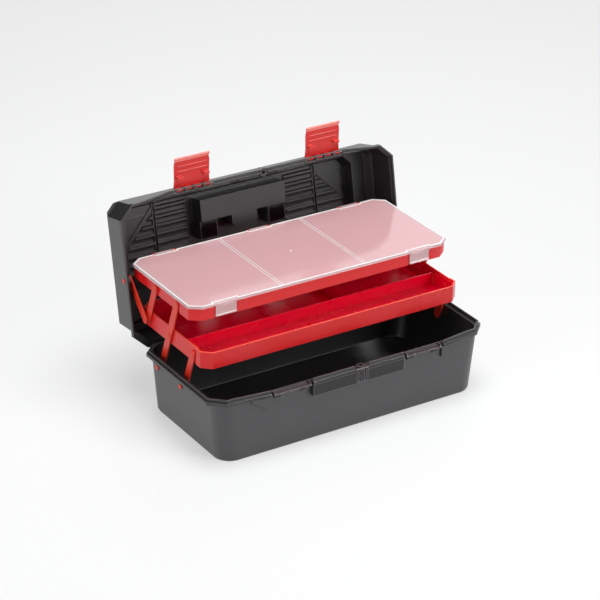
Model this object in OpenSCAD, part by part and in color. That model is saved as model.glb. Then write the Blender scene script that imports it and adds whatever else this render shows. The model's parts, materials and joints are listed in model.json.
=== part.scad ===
// Cantilever tool box: a tub, a ribbed lid and two trays that rise and step back as the lid opens.
// The box lies along X, its front looks along -Y, and Z is up from the underside of the tub.
// Lid, trays and latches are drawn closed and then placed open, as the box stands at rest.

/* [Tub and lid] */
// Length over the rim
box_l = 481; // [460:1:520]
// Depth over the rim, without the bow of the front
box_d = 214; // [208:1:230]
// Height of the tub up to the parting line
base_h = 99; // [96:0.5:112]
// Height of the lid's side walls above the parting line
lid_side_h = 52.5; // [51:0.5:60]
// Height of the lid's crown above the parting line
lid_h = 86.5; // [84:0.5:100]
// Wall of the tub and the lid
wall = 2.5; // [2:0.1:3]
// Cut-off corner of the rim, along X
corner_x = 22; // [16:0.5:26]
// Cut-off corner of the rim, along Y
corner_y = 21; // [16:0.5:24]
// How far the front bows out between the latches
bow = 6.5; // [4:0.5:9]
// Overhang of the rim beyond the tub's wall, on the sides
rim_over_x = 8.5; // [7:0.5:10]
// Overhang of the rim beyond the tub's wall, at front and back
rim_over_y = 2.5; // [2:0.1:4]
// Draft of the tub's side walls, top to bottom
draft_x = 9; // [6:0.5:12]
// Draft of the tub's front and back walls
draft_y = 1; // [0.5:0.1:2]
// Corner radius of the tub
tub_r = 27; // [20:1:30]
// Thickness of the tub's rim
rim_t = 4.6; // [4:0.1:6]
// Height of the tongue on the tub's rim
tongue_h = 4.8; // [3:0.1:5.2]

/* [Hinge and opening] */
// Distance of the hinge axis behind the rim
hinge_back = 4.4; // [4:0.1:6]
// Depth of the hinge axis below the parting line
hinge_drop = 7.9; // [7:0.1:9]
// Angle that the lid opens
lid_open = 101.5; // [95:0.5:104]
// Radius of the hinge knuckles
knuckle_r = 4; // [3.6:0.1:4.2]
// Radius of the hinge pins
hinge_pin_r = 1.6; // [1.2:0.1:2]
// Distance of each hinge from the middle
hinge_x = 120; // [80:1:150]

/* [Linkage] */
// Lower stretch of the long arm
arm_a = 64.5; // [62:0.5:66]
// Upper stretch of the long arm
arm_b = 63.5; // [62.5:0.5:66]
// Lean of the arms with the box open
lean_open = 20; // [16:0.5:24]
// Lean of the arms with the box shut
lean_shut = 65; // [63:0.5:65.5]
// Height of the tub's arm pivots
pivot_z = 80.5; // [80:0.5:82]
// Distance of the long arm's pivot in front of the lid hinge
pivot_y = 41.8; // [40:0.1:44]
// Distance between the two pivots in the tub
front_gap = 67.5; // [60:0.5:72]
// Distance between the two arms of the upper tray
rear_gap = 61.7; // [58:0.1:64]
// Distance of the lid link's pivot in front of the hinge, lid shut
link_y = 102.8; // [100:0.1:104]
// Height of the lid link's pivot over the hinge, lid shut
link_z = 22.6; // [21:0.1:24]
// Width of the arms
arm_w = 12.6; // [11:0.2:13]
// Thickness of the arms
arm_t = 2.6; // [2:0.1:3]
// Radius of the arms' moulded pins
pin_r = 2.2; // [1.8:0.1:2.6]
// Running clearance of pins in their holes
run = 0.08; // [0.04:0.01:0.1]
// Gap between the arms and the trays
side_gap = 0.5; // [0.3:0.1:0.8]

/* [Trays] */
// Gap between the trays' ends and the rim's ends
tray_end = 17; // [16.5:0.5:20]
// Wall of the trays and dividers
tray_wall = 2; // [1.6:0.1:2.4]
// Depth by which a tray's sides are set back for the arms
tray_step = 1.8; // [1.2:0.1:2]
// Height of the lower tray above its pivots
low_up = 13.7; // [12:0.1:14.5]
// Depth of the lower tray below its pivots
low_down = 12.5; // [11:0.1:13]
// Height of the upper tray's rim above its pivots
high_up = 9.8; // [9.4:0.1:10]
// Depth of the upper tray below its pivots
high_down = 10.5; // [9:0.1:11]
// Gap in front of the shut lower tray, to the rim's front
low_front = 17.6; // [16:0.1:20]
// Gap behind the shut lower tray, to the rim's back
low_rear = 9.4; // [9:0.1:12]
// Gap in front of the shut upper tray, to the rim's front
high_front = 15.4; // [15:0.1:18]
// Gap behind the shut upper tray, to the rim's back
high_rear = 14.6; // [14.2:0.1:17]
// Distance of the upper tray's dividers from the middle
divider_x = 72; // [50:1:90]
// Thickness of the clear cover
cover_t = 1.7; // [1.4:0.1:2]

/* [Handle and latches] */
// Half the length of the handle well
well_x = 75; // [72:0.5:90]
// Depth of the handle well
well_d = 26; // [24:0.5:28]
// Thickness of the handle's grip
grip_t = 19; // [16:0.5:20]
// Half the distance between the two latches
latch_x = 115; // [112:1:130]
// Distance of the latches' middle to the right of the box's
latch_mid = 3; // [0:0.5:4]
// Width of the latches
latch_w = 61; // [56:1:64]
// Length of the latches
latch_l = 45; // [42:0.5:54]
// Distance of the padlock's boss to the right of the middle
lock_x = 8; // [0:0.5:10]

/* [Hidden] */
$fn = 48;

black = [0.12, 0.12, 0.13];
red = [0.80, 0.06, 0.07];
clear = [0.93, 0.80, 0.82, 0.5];
steel = [0.75, 0.75, 0.77];

eps = 0.01;
gap = 0.3;
half_l = box_l / 2;
half_d = box_d / 2;

// Tub
wall_x = half_l - rim_over_x;
wall_y = half_d - rim_over_y;
rim_z = base_h - rim_t;
foot_round = 3;
floor_t = 3;
tongue_t = 2;
tongue_in = 3;
tongue_gap = 0.4;
foot_ring = 16;
foot_hollow = 1;
field_h = 19;
field_wing = 30;
field_slant = 24;
wing_proud = 4;
zone_drop = 2.4;
zone_slot = 4;
lip_h = 6;
lip_proud = 6;

// Hinge, opening and the turn of each part between shut and open
hinge_y = half_d + hinge_back;
hinge_z = base_h - hinge_drop;
hinge_len = 56;
knuckle_gap = 0.4;
knuckle_in = 0.2;
lid_knuckle = hinge_len / 2;

// Linkage, as [y, z]
function lean(a) = [-sin(a), cos(a)];
low_rise = arm_a * (lean(lean_open) - lean(lean_shut));
high_rise = (arm_a + arm_b) * (lean(lean_open) - lean(lean_shut));
long_foot = [hinge_y - pivot_y, pivot_z];
front_foot = long_foot - [front_gap, 0];
low_shut = long_foot + arm_a * lean(lean_shut);
high_shut = low_shut + arm_b * lean(lean_shut);
low_pin = low_shut + low_rise;
high_pin = high_shut + high_rise;
rear_pin = low_pin + [rear_gap, 0];
link_shut = [hinge_y - link_y, hinge_z + link_z];
link_pin = open_point(link_shut);
function open_point(p) = [
    hinge_y + (p[0] - hinge_y) * cos(lid_open) + (p[1] - hinge_z) * sin(lid_open),
    hinge_z - (p[0] - hinge_y) * sin(lid_open) + (p[1] - hinge_z) * cos(lid_open)
];

// Layers of the arms along X, outside the trays
tray_l = box_l - 2 * tray_end;
tray_side = tray_l / 2 - tray_step;
arm_x = tray_side + side_gap;
arm_out = arm_x + arm_t;
boss_t = 0.8;
arm_waist = 0.05;
head_r = 4;
head_t = 1.6;
link_x = arm_out + boss_t + 1.8;
link_out = link_x + arm_t;
pin_hole_r = pin_r + run;

// Trays, in Y with the box shut
low_y = [low_front - half_d, half_d - low_rear];
high_y = [high_front - half_d, half_d - high_rear];
low_corner = [13.5, 12.5];
high_corner = [16.2, 12.6];
low_z = [low_shut[1] - low_down, low_shut[1] + low_up];
high_z = [high_shut[1] - high_down, high_shut[1] + high_up];
block_d = 8;
rim_bead_t = 0.8;
rim_bead_h = 1.2;
rim_bead_down = 5;
divider_t = tray_wall;
long_divider_y = low_shut[0] - 36;
long_divider_down = 5.5;
cross_divider_x = 60;
cross_divider_down = 7;
divider_slot = 0.15;
channel_t = 1.2;
channel_d = 3;
channel_off = divider_t / 2 + channel_t;
channel_h = low_up + low_down - 8;
recess_d = 4;
recess_side = 4;
lug_w = 4;
lug_gap = 0.3;

// Cover, in Y and Z with the box shut
cover_z = high_z[1] + 0.7;
cover_over = 1.7;
cover_lap = 1.8;
cover_skirt = 1.8;
cover_cut_x = 17;
cover_cut_y = 13;
bead_edge = 1.2;
bead_w = 2.2;
bead_h = 0.7;
bead_step = 3;
line_gap = 4.6;
line_w = 0.9;
line_h = 0.45;
tab_w = 34;
tab_x = (tray_l / 2) - 55;
tab_t = 1.6;
tab_h = 20;
tab_ledge = 1.4;
tab_slit = 5;
gate_r = 1.6;
under_rib_w = 5;
cover_notch = 4.9;
cover_hinge_y = high_y[1] + 2.8;
cover_hinge_z = high_z[1] - 0.6;
cover_knuckle_r = 2.3;
cover_pin_r = 1.1;
cover_hinge_x = 164;
cover_knuckle = 30;

// Lid
lid_rim_t = tongue_h + 1.6;
lid_rim_w = 8;
lid_back = 6.5;
lid_in = 2;
lid_draft = 3.3;
lid_z = base_h + gap;
side_top = base_h + lid_side_h;
crown_top = base_h + lid_h;
crown_x = half_l - 35;
crown_y = half_d - 20;
crown_slope = 8;
crown_cut = 14;
shoulder_x = tray_l / 2 + cover_over + wall + 0.9;
shoulder_y = half_d - 10;
shoulder_z = side_top + 13;
shoulder_cut = 12;
deck_z = crown_top - wall;

// Handle well, in Y and Z with the lid shut
well_z = crown_top - well_d;
well_front = 36;
well_bar = 34;
well_y = [well_front - half_d, well_front + well_bar - half_d];
stem_x = 22.3;
stem_reach = 14;
stem_y = well_y[1] + stem_reach;
stem_sag = 9;
ear_x = 46;
ear_step = 6;
ear_z = well_z + ear_step;
ear_reach = 29;
ear_y = well_y[1] + ear_reach;
handle_pin_r = 3;
handle_inset = 12;
handle_drop = 11.5;
handle_pin = [ear_y - handle_inset, crown_top - handle_drop];
handle_end_r = 6;
finger_r = 12;
finger_in = 3;
grip_cut = 3;

// Louvres of the lid's panels
louvre_pitch = 13.6;
louvre_n = 8;
louvre_h = 3;
louvre_y = -half_d + 38.5;
panel_x = well_x + 13;
groove_x = panel_x + 53.5;
groove_w = 3;
panel_end = crown_x - 8;
panel_y = half_d - 32;
louvre_w = 9;
slant_top = [groove_x + 4, -half_d + 33.5];
slant_foot = [panel_end, -half_d + 88];
slant_w = 9;
rib_t = 1.5;
rib_h = 2.4;
rib_y = -half_d + 44;
ledge_x = 67;
ledge_w = 50;
ledge_reach = 7.7;
ledge_z = lid_z + 20;

// Latches, in Y and Z with the lid shut
latch_pin_y = -half_d - bow + 3.5;
latch_pin_z = base_h + 5.8;
latch_pin_r = 1.2;
latch_knuckle_r = 2.8;
latch_t = 2.2;
latch_face = latch_pin_y - 6;
latch_shut = 78.5;
latch_zone = latch_w / 2 + 5;
pocket_y = latch_pin_y + latch_knuckle_r + 0.4;
pocket_side = 1;
latch_row = latch_w - 2;
latch_lug_w = 4;
latch_knuckles = 4;
knuckle_w = (latch_row - (latch_knuckles - 1) * latch_lug_w) / latch_knuckles;
knuckle_pitch = knuckle_w + latch_lug_w;
leaf_top = 1;
pocket_wall = 2.8;
pocket_h = 13;
guard_t = 1.8;
guard_h = 1.9;
guard_y = latch_face + latch_t + 0.3;
hook_w = 9;
hook_in = 8;
hook_h = 4;
hook_bite = 3;
hook_drop = latch_pin_z - rim_z + lip_h + gap;
lip_tilt = 28;
lip_reach = 6;

// Lock lugs
lock_w = 19;
lock_r = 3;
lock_y = -half_d - bow + 6.6;
lock_ring = 6.4;
lock_top = base_h + 2.4;
lock_slot = 2.4;

function latch_at(s) = latch_mid + s * latch_x;

// Octagon of the rim, drawn in by d and grown by the bow of the front
module rim_outline(d, b = bow) {
    x = half_l - d;
    y = half_d - d;
    cx = corner_x - 0.41 * d;
    cy = corner_y - 0.41 * d;
    bow_in = latch_x + latch_zone + 4;
    bow_out = half_l - corner_x - 12;
    polygon([
        [-x, -y + cy], [-x + cx, -y], [-bow_out, -y], [-bow_in, -y - b], [bow_in, -y - b], [bow_out, -y],
        [x - cx, -y], [x, -y + cy], [x, y - cy], [x - cx, y], [-x + cx, y], [-x, y - cy]
    ]);
}

// Rectangle with cut-off corners
module cut_rect(x, y1, y2, cx, cy) {
    polygon([
        [-x, y1 + cy], [-x + cx, y1], [x - cx, y1], [x, y1 + cy],
        [x, y2 - cy], [x - cx, y2], [-x + cx, y2], [-x, y2 - cy]
    ]);
}

// Thin plate with round corners, a slice of the tub
module tub_slice(x, y, r, z) {
    translate([0, 0, z])
        linear_extrude(eps)
            for (sx = [-1, 1], sy = [-1, 1])
                translate([sx * (x - r), sy * (y - r)])
                    circle(r = r, $fn = 64);
}

// Space inside the tub's wall, or outside it with d = 0
module tub_form(d, z0, z1) {
    slope_x = draft_x / rim_z;
    slope_y = draft_y / rim_z;
    soft = d > 0 ? foot_round - 1 : foot_round;
    x0 = wall_x - draft_x + slope_x * z0 - d;
    y0 = wall_y - draft_y + slope_y * z0 - d;
    hull() {
        tub_slice(x0 - soft / 2, y0 - soft / 2, tub_r - d - soft / 2, z0);
        tub_slice(x0 + slope_x * soft, y0 + slope_y * soft, tub_r - d, z0 + soft);
        tub_slice(wall_x + slope_x * (z1 - rim_z) - d, wall_y + slope_y * (z1 - rim_z) - d, tub_r - d, z1 - eps);
    }
}

// Cylinder along X from x0 to x1 round a [y, z] centre
module rod(p, r, x0, x1) {
    translate([x0, p[0], p[1]])
        rotate([0, 90, 0])
            cylinder(r = r, h = x1 - x0);
}

// Copies of its children on the right and, mirrored, on the left
module both_sides() {
    children();
    mirror([1, 0, 0]) children();
}

// Turns the shut lid open about its hinge
module opened() {
    translate([0, hinge_y, hinge_z])
        rotate([-lid_open, 0, 0])
            translate([0, -hinge_y, -hinge_z])
                children();
}

// Raises a shut tray to where it stands with the box open
module raised(rise) {
    translate([0, rise[0], rise[1]]) children();
}

// ---- Tub ----

module tongue() {
    translate([0, 0, base_h - eps])
        linear_extrude(tongue_h + eps)
            intersection() {
                difference() {
                    rim_outline(tongue_in);
                    rim_outline(tongue_in + tongue_t);
                }
                // It stops at the latches, at the lock boss and before the rear corners
                difference() {
                    translate([-half_l, -half_d - 2 * bow]) square([box_l, box_d - corner_y + 2 * bow]);
                    for (s = [-1, 1])
                        translate([latch_at(s) - latch_zone, -half_d - 2 * bow]) square([2 * latch_zone, 40]);
                    translate([lock_x - lock_w / 2 - 3, -half_d - 2 * bow]) square([lock_w + 6, 40]);
                }
            }
}

// Boss on the rim that a padlock goes through, with ribs down its front
module lock_boss() {
    translate([lock_x, lock_y, rim_z - 1]) cylinder(r = lock_ring, h = lock_top - rim_z + 1);
    translate([lock_x - lock_w / 2, -half_d - bow - 0.6, rim_z - field_h + 3])
        cube([lock_w, 8, field_h + rim_t - 3.5]);
}

// Raised field under the rim, from x0 to x1, with one slanted end and its face at depth front
module field(x0, x1, slant, front) {
    low = rim_z - field_h;
    translate([0, -wall_y + wall, 0])
        rotate([90, 0, 0])
            linear_extrude(front - wall_y + wall)
                polygon([[x0, rim_z + eps], [x0, low], [x1 - slant, low], [x1, low + 0.6 * slant], [x1, rim_z + eps]]);
}

module tub_fields() {
    field(-1, latch_x - latch_zone, 0.1, half_d + bow - 0.6);
    field(latch_x + latch_zone, latch_x + latch_zone + field_wing, field_slant, wall_y + wing_proud);
}

// Lip under the rim that a latch's hook goes under
module catch_lip(x) {
    translate([x - hook_w / 2 - 1, -wall_y - lip_proud, rim_z - lip_h])
        cube([hook_w + 2, lip_proud + wall, lip_h + eps]);
}

// Ribs across the lowered rim, beside the slots
module zone_ribs() {
    for (s = [-1, 1], e = [-1, 1])
        translate([latch_at(s) + e * (latch_zone - zone_slot - 1) - 1, -half_d - bow + 1, rim_z + 1])
            cube([2, half_d + bow - wall_y, base_h - rim_z - 1]);
}

module tub_knuckles() {
    for (s = [-1, 1], e = [-1, 1]) {
        w = (hinge_len - lid_knuckle) / 2 - knuckle_gap;
        x0 = s * hinge_x + e * (hinge_len / 2 - w / 2) - w / 2;
        rod([hinge_y, hinge_z], knuckle_r, x0, x0 + w);
        translate([x0, wall_y - wall, hinge_z - knuckle_r + knuckle_in])
            cube([w, hinge_y - wall_y + wall, 2 * knuckle_r - 6 * knuckle_in]);
    }
}

// Where the rim is cut lower for a latch, with a slot at each end
module latch_zone_cuts(s) {
    deep = half_d + 2 * bow - wall_y;
    translate([latch_at(s) - latch_zone, -half_d - 2 * bow, base_h - zone_drop])
        cube([2 * latch_zone, deep, zone_drop + 1]);
    for (e = [-1, 1])
        translate([latch_at(s) + e * (latch_zone - zone_slot / 2) - zone_slot / 2, -half_d - 2 * bow, rim_z - 1])
            cube([zone_slot, deep - 1, rim_t + 2]);
}

module base_tub() {
    color(black)
        difference() {
            union() {
                difference() {
                    union() {
                        tub_form(0, 0, rim_z + eps);
                        translate([0, 0, rim_z]) linear_extrude(rim_t) rim_outline(0);
                    }
                    for (s = [-1, 1]) latch_zone_cuts(s);
                }
                zone_ribs();
                tongue();
                translate([latch_mid, 0, 0]) both_sides() tub_fields();
                lock_boss();
                for (s = [-1, 1], e = [-1, 1]) catch_lip(latch_at(s) + e * (latch_w / 2 - hook_in));
                tub_knuckles();
            }
            difference() {
                tub_form(wall, floor_t, base_h + 10);
                // Round bosses that the arms' pins turn in
                for (p = [long_foot, front_foot]) both_sides() rod(p, arm_w / 2, arm_out + boss_t + gap, half_l);
            }
            // Pin holes through the bosses and the side walls
            for (p = [long_foot, front_foot]) both_sides() rod(p, pin_hole_r, arm_out, half_l + 1);
            // Shallow panel in the underside, which leaves a ring to stand on
            translate([0, 0, -eps])
                linear_extrude(foot_hollow + eps)
                    cut_rect(wall_x - draft_x - foot_ring, foot_ring - wall_y, wall_y - foot_ring, foot_ring, foot_ring);
            // Hole for the padlock, and grooves between the boss's ribs
            translate([lock_x, lock_y, rim_z - 2]) cylinder(r = lock_r, h = 40);
            for (e = [-1, 1])
                translate([lock_x + e * lock_w / 4 - lock_slot / 2, -half_d - bow - 1, rim_z - field_h])
                    cube([lock_slot, 2.2, field_h + 1]);
            for (s = [-1, 1])
                rod([hinge_y, hinge_z], hinge_pin_r, s * hinge_x - hinge_len / 2 - 1, s * hinge_x + hinge_len / 2 + 1);
        }
}

module hinge_pin(s) {
    color(steel)
        rod(
            [hinge_y, hinge_z],
            hinge_pin_r,
            s * hinge_x - hinge_len / 2 + knuckle_gap,
            s * hinge_x + hinge_len / 2 - knuckle_gap
        );
}

// ---- Lid, drawn shut ----

// Low outer body of the lid, drawn in by d
module lid_low(d) {
    hull() {
        translate([0, 0, d > 0 ? lid_z - 1 : lid_z + 1]) linear_extrude(eps) rim_outline(lid_in + d, bow * 0.6);
        translate([0, 0, side_top - d - eps]) linear_extrude(eps) rim_outline(lid_in + lid_draft + d, 0);
    }
}

// Crown of the lid, drawn in by d
module lid_crown(d) {
    hull() {
        translate([0, 0, side_top - crown_slope])
            linear_extrude(eps)
                cut_rect(crown_x - d, -crown_y - crown_slope + d, crown_y + crown_slope - d, crown_cut, crown_cut);
        translate([0, 0, crown_top - d - eps])
            linear_extrude(eps)
                cut_rect(crown_x - 2 - d, -crown_y + crown_slope + d, crown_y - crown_slope - d, crown_cut, crown_cut);
    }
}

// Shoulder between the side walls and the crown, high enough for the upper tray's corners to swing past
module lid_shoulder(d) {
    x = half_l - lid_in - lid_draft - d;
    y = half_d - lid_in - lid_draft - d;
    hull() {
        translate([0, 0, side_top - 1 - d]) linear_extrude(eps) cut_rect(x, -y, y, corner_x - 2, corner_y - 2);
        translate([0, 0, shoulder_z - d - eps])
            linear_extrude(eps)
                cut_rect(shoulder_x - d, -shoulder_y + d, shoulder_y - d, shoulder_cut, shoulder_cut);
    }
}

// Handle well: a bar across, a stem for the fingers and an ear for each end of the handle
module well_form(d) {
    tall = well_d + 1;
    translate([0, 0, well_z - wall + d]) {
        translate([-well_x + d, well_y[0] + d, 0]) cube([2 * well_x - 2 * d, well_y[1] - well_y[0] - 2 * d, tall]);
        translate([-stem_x + d, well_y[1] - 10, 0]) cube([2 * stem_x - 2 * d, stem_y - well_y[1] + 9, tall]);
        translate([0, stem_y, 0]) stem_end(stem_x - d, tall);
    }
    both_sides()
        translate([ear_x + d, well_y[1] - 12, ear_z - wall + d])
            cube([well_x - ear_x - 2 * d, ear_y - well_y[1] + 12 - d, tall]);
}

// Rounded end of the stem, a segment of a larger disc
module stem_end(half, tall) {
    r = (half * half + stem_sag * stem_sag) / (2 * stem_sag);
    translate([0, stem_sag - r, 0])
        intersection() {
            cylinder(r = r, h = tall, $fn = 96);
            // It reaches back into the stem, so that the two share their sides
            translate([-half, r - stem_sag - 2, 0]) cube([2 * half, stem_sag + 2, tall]);
        }
}

// Louvres of one panel: a comb of ridges, cut by the groove and the slanted rib
module louvres() {
    foot = louvre_w / 2;
    intersection() {
        translate([panel_x, 0, 0])
            rotate([90, 0, 90])
                linear_extrude(panel_end - panel_x)
                    for (i = [0:louvre_n - 1])
                        translate([louvre_y + i * louvre_pitch, deck_z])
                            polygon([[-foot, 1], [-foot, 0], [-2, -louvre_h], [1, -louvre_h], [foot, 0], [foot, 1]]);
        translate([0, 0, deck_z - 10])
            linear_extrude(20)
                difference() {
                    polygon([
                        [panel_x, louvre_y - foot - 1], [slant_top[0] - 4, louvre_y - foot - 1],
                        [slant_top[0] - 2, slant_top[1] + slant_w], [panel_end, slant_foot[1] + slant_w + 1],
                        [panel_end, panel_y], [panel_x, panel_y]
                    ]);
                    translate([groove_x, -half_d]) square([groove_w, box_d]);
                }
    }
}

// Thin ribs on the crown's inner face, beside the louvres
module crown_ribs() {
    // Slanted flat rib outside the louvres
    translate([0, 0, deck_z - 1.6])
        linear_extrude(rib_h)
            polygon([
                slant_top, slant_foot,
                [slant_foot[0], slant_foot[1] + slant_w], [slant_top[0], slant_top[1] + slant_w]
            ]);
    // Rib along the crown
    translate([groove_x, rib_y, deck_z - 1.2]) cube([crown_x - groove_x - wall, rib_t, 2]);
    // Ribs across the crown on both sides of the groove
    for (x = [groove_x - rib_t, groove_x + groove_w])
        translate([x, louvre_y - louvre_w - 3.5, deck_z - rib_h]) cube([rib_t, 2 * panel_y + 6, rib_h + 1]);
}

// Ledge behind the front wall, open on both sides of the lock
module front_ledge() {
    for (x = [-ledge_x, 0, ledge_x])
        translate([x - ledge_w / 2, -half_d + lid_in + 0.3, ledge_z])
            cube([ledge_w, ledge_reach, wall]);
}

module lid_knuckles() {
    for (s = [-1, 1]) {
        w = lid_knuckle - 2 * knuckle_gap;
        x0 = s * hinge_x - w / 2;
        rod([hinge_y, hinge_z], knuckle_r, x0, x0 + w);
        // Strap from the lid's rim down to the knuckle
        translate([x0, half_d + gap, hinge_z])
            cube([w, hinge_back + knuckle_r - 2 * gap, lid_z - hinge_z + lid_rim_t]);
        translate([x0, half_d - 2, lid_z]) cube([w, 3, lid_rim_t]);
    }
}

// Lugs between a latch's knuckles, and the guard bar along the rim in front of them
module latch_lugs(s) {
    left = latch_at(s) - latch_row / 2;
    for (i = [1:latch_knuckles - 1]) {
        x0 = left + i * knuckle_pitch - latch_lug_w;
        rod([latch_pin_y, latch_pin_z], latch_knuckle_r, x0 + gap, x0 + latch_lug_w - gap);
        translate([x0 + gap, guard_y, lid_z])
            cube([latch_lug_w - 2 * gap, pocket_y + 1 - guard_y, latch_pin_z - lid_z + 0.5]);
        translate([x0 + gap, latch_pin_y, lid_z])
            cube([latch_lug_w - 2 * gap, pocket_y + 1 - latch_pin_y, latch_pin_z - lid_z + latch_knuckle_r - 0.3]);
    }
    translate([latch_at(s) - latch_w / 2 - 2, guard_y, lid_z])
        cube([latch_w + 4, guard_t, guard_h]);
}

module lid_shut() {
    difference() {
        union() {
            difference() {
                union() {
                    // Rim, which reaches over the tub's knuckles at the back
                    translate([0, 0, lid_z]) linear_extrude(lid_rim_t) rim_outline(0);
                    translate([0, lid_back, lid_z])
                        linear_extrude(lid_rim_t)
                            intersection() {
                                rim_outline(0, 0);
                                translate([-half_l, 0]) square([box_l, box_d]);
                            }
                    lid_low(0);
                    lid_crown(0);
                    lid_shoulder(0);
                }
                difference() {
                    union() {
                        lid_low(wall);
                        lid_crown(wall);
                        lid_shoulder(wall);
                        translate([0, 0, lid_z - 1]) linear_extrude(lid_rim_t) rim_outline(lid_rim_w, bow * 0.6);
                    }
                    well_form(0);
                    both_sides() rod(link_shut, arm_w / 2, link_out + gap, half_l - 3);
                }
                // Groove that takes the tub's tongue
                translate([0, 0, lid_z - 1])
                    linear_extrude(1 + tongue_h)
                        intersection() {
                            difference() {
                                rim_outline(tongue_in - tongue_gap);
                                rim_outline(tongue_in + tongue_t + tongue_gap);
                            }
                            translate([-half_l, -half_d - 2 * bow]) square([box_l, box_d - corner_y + 2 * bow + 1]);
                        }
                // Pockets for the latches
                for (s = [-1, 1])
                    translate([latch_at(s) - latch_w / 2 - pocket_side, -half_d - 2 * bow, lid_z - 1])
                        cube([latch_w + 2 * pocket_side, pocket_y + half_d + 2 * bow, pocket_h + 4]);
            }
            difference() {
                intersection() {
                    both_sides() {
                        louvres();
                        crown_ribs();
                    }
                    lid_crown(wall / 2);
                }
                well_form(-0.5);
            }
            front_ledge();
            lid_knuckles();
            latch_pocket_walls();
            for (s = [-1, 1]) latch_lugs(s);
            // Boss for the padlock, over the tub's
            translate([lock_x, lock_y, lid_z + 1]) cylinder(r = lock_ring, h = 12);
        }
        // Hollow that takes the tub's lock boss
        translate([lock_x, lock_y, lid_z - 1]) cylinder(r = lock_ring + 2 * gap, h = 1 + lock_top - base_h);
        well_form(wall);
        both_sides() rod(handle_pin, handle_pin_r + run, well_x - wall - 1, well_x + 1);
        both_sides() rod(link_shut, pin_hole_r, link_out, half_l + 1);
        translate([lock_x, lock_y, lid_z - 1]) cylinder(r = lock_r, h = 20);
        for (s = [-1, 1]) {
            rod([hinge_y, hinge_z], hinge_pin_r + run, s * hinge_x - hinge_len / 2, s * hinge_x + hinge_len / 2);
            rod(
                [latch_pin_y, latch_pin_z],
                latch_pin_r,
                latch_at(s) - latch_w / 2 - 4,
                latch_at(s) + latch_w / 2 + 4
            );
        }
    }
}

// Back wall of each latch pocket
module latch_pocket_walls() {
    for (s = [-1, 1])
        translate([latch_at(s) - latch_w / 2 - 3, pocket_y, lid_z + lid_rim_t - 1])
            cube([latch_w + 6, pocket_wall, pocket_h]);
}

module lid_shell() {
    color(black) opened() lid_shut();
}

// ---- Handle, drawn stowed in the shut lid ----

module handle_shut() {
    grip_y = [well_y[0] + wall + 2.5, well_y[1] - wall - 8];
    grip_z = crown_top - 2 - grip_t;
    reach = well_x - wall - 1;
    arm_in = ear_x + wall + 7;
    difference() {
        union() {
            // Grip
            translate([-reach, grip_y[0], grip_z])
                cube([2 * reach, grip_y[1] - grip_y[0], grip_t]);
            both_sides() {
                // Arm from the grip to its pivot
                translate([arm_in, grip_y[0] + 4, handle_pin[1] - handle_end_r])
                    cube([reach - arm_in, handle_pin[0] - grip_y[0] - 4, 2 * handle_end_r]);
                rod(handle_pin, handle_end_r, arm_in, reach);
                rod(handle_pin, handle_pin_r, reach - 1, well_x + 1);
            }
        }
        // Finger grooves along the grip's underside
        for (i = [-2:2])
            translate([i * 2 * finger_r, grip_y[0] - 1, grip_z - finger_r + finger_in])
                rotate([-90, 0, 0]) cylinder(r = finger_r, h = well_bar);
        // Chamfers along the grip
        for (z = [grip_z, grip_z + grip_t])
            translate([-reach - 1, grip_y[0], z])
                rotate([45, 0, 0])
                    translate([0, -grip_cut, -grip_cut]) cube([2 * reach + 2, 2 * grip_cut, 2 * grip_cut]);
    }
}

module handle() {
    color(black) opened() handle_shut();
}

// ---- Latches, drawn hanging shut ----

module latch_hanging(s) {
    left = latch_at(s) - latch_w / 2;
    difference() {
        union() {
            // Leaf with a widened foot and a turned-out lip
            translate([latch_at(s), latch_face + latch_t, latch_pin_z])
                rotate([90, 0, 0])
                    linear_extrude(latch_t)
                        latch_outline();
            translate([left + 1, latch_face + latch_t, latch_pin_z - latch_l])
                rotate([lip_tilt, 0, 0])
                    translate([0, -latch_t, 1 - lip_reach]) cube([latch_w - 2, latch_t, lip_reach]);
            // Knuckles, each on a web that reaches over the guard bar
            for (i = [0:latch_knuckles - 1]) {
                x0 = left + (latch_w - latch_row) / 2 + i * knuckle_pitch;
                rod([latch_pin_y, latch_pin_z], latch_knuckle_r, x0 + gap, x0 + knuckle_w - gap);
                translate([x0 + gap, latch_face, latch_pin_z - 1.2])
                    cube([knuckle_w - 2 * gap, latch_pin_y - latch_face, latch_knuckle_r + 1]);
            }
            // Hooks that go under the tub's lips
            for (e = [-1, 1])
                translate([
                    latch_at(s) + e * (latch_w / 2 - hook_in) - hook_w / 2,
                    latch_face,
                    latch_pin_z - hook_drop - hook_h
                ])
                    cube([hook_w, -latch_face - wall_y - lip_proud + hook_bite, hook_h]);
            // Stiffening ribs across the leaf
            for (z = [0.62, 0.8] * latch_l)
                translate([left + 6, latch_face + latch_t - eps, latch_pin_z - z])
                    cube([latch_w - 12, 1, 1.2]);
        }
        rod([latch_pin_y, latch_pin_z], latch_pin_r + run, left - 1, left + latch_w + 1);
    }
}

module latch_outline() {
    w = latch_w / 2;
    polygon([
        [-w, -leaf_top], [-w + 1, -14], [-w + 0.5, -latch_l + 8], [-w + 2, -latch_l],
        [w - 2, -latch_l], [w - 0.5, -latch_l + 8], [w - 1, -14], [w, -leaf_top]
    ]);
}

module latch(s) {
    color(red)
        opened()
            translate([0, latch_pin_y, latch_pin_z])
                rotate([-latch_shut, 0, 0])
                    translate([0, -latch_pin_y, -latch_pin_z])
                        latch_hanging(s);
}

module latch_pin(s) {
    color(steel)
        opened()
            rod(
                [latch_pin_y, latch_pin_z],
                latch_pin_r,
                latch_at(s) - latch_w / 2 - 2.5,
                latch_at(s) + latch_w / 2 + 2.5
            );
}

// ---- Arms, drawn where they stand ----

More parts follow.
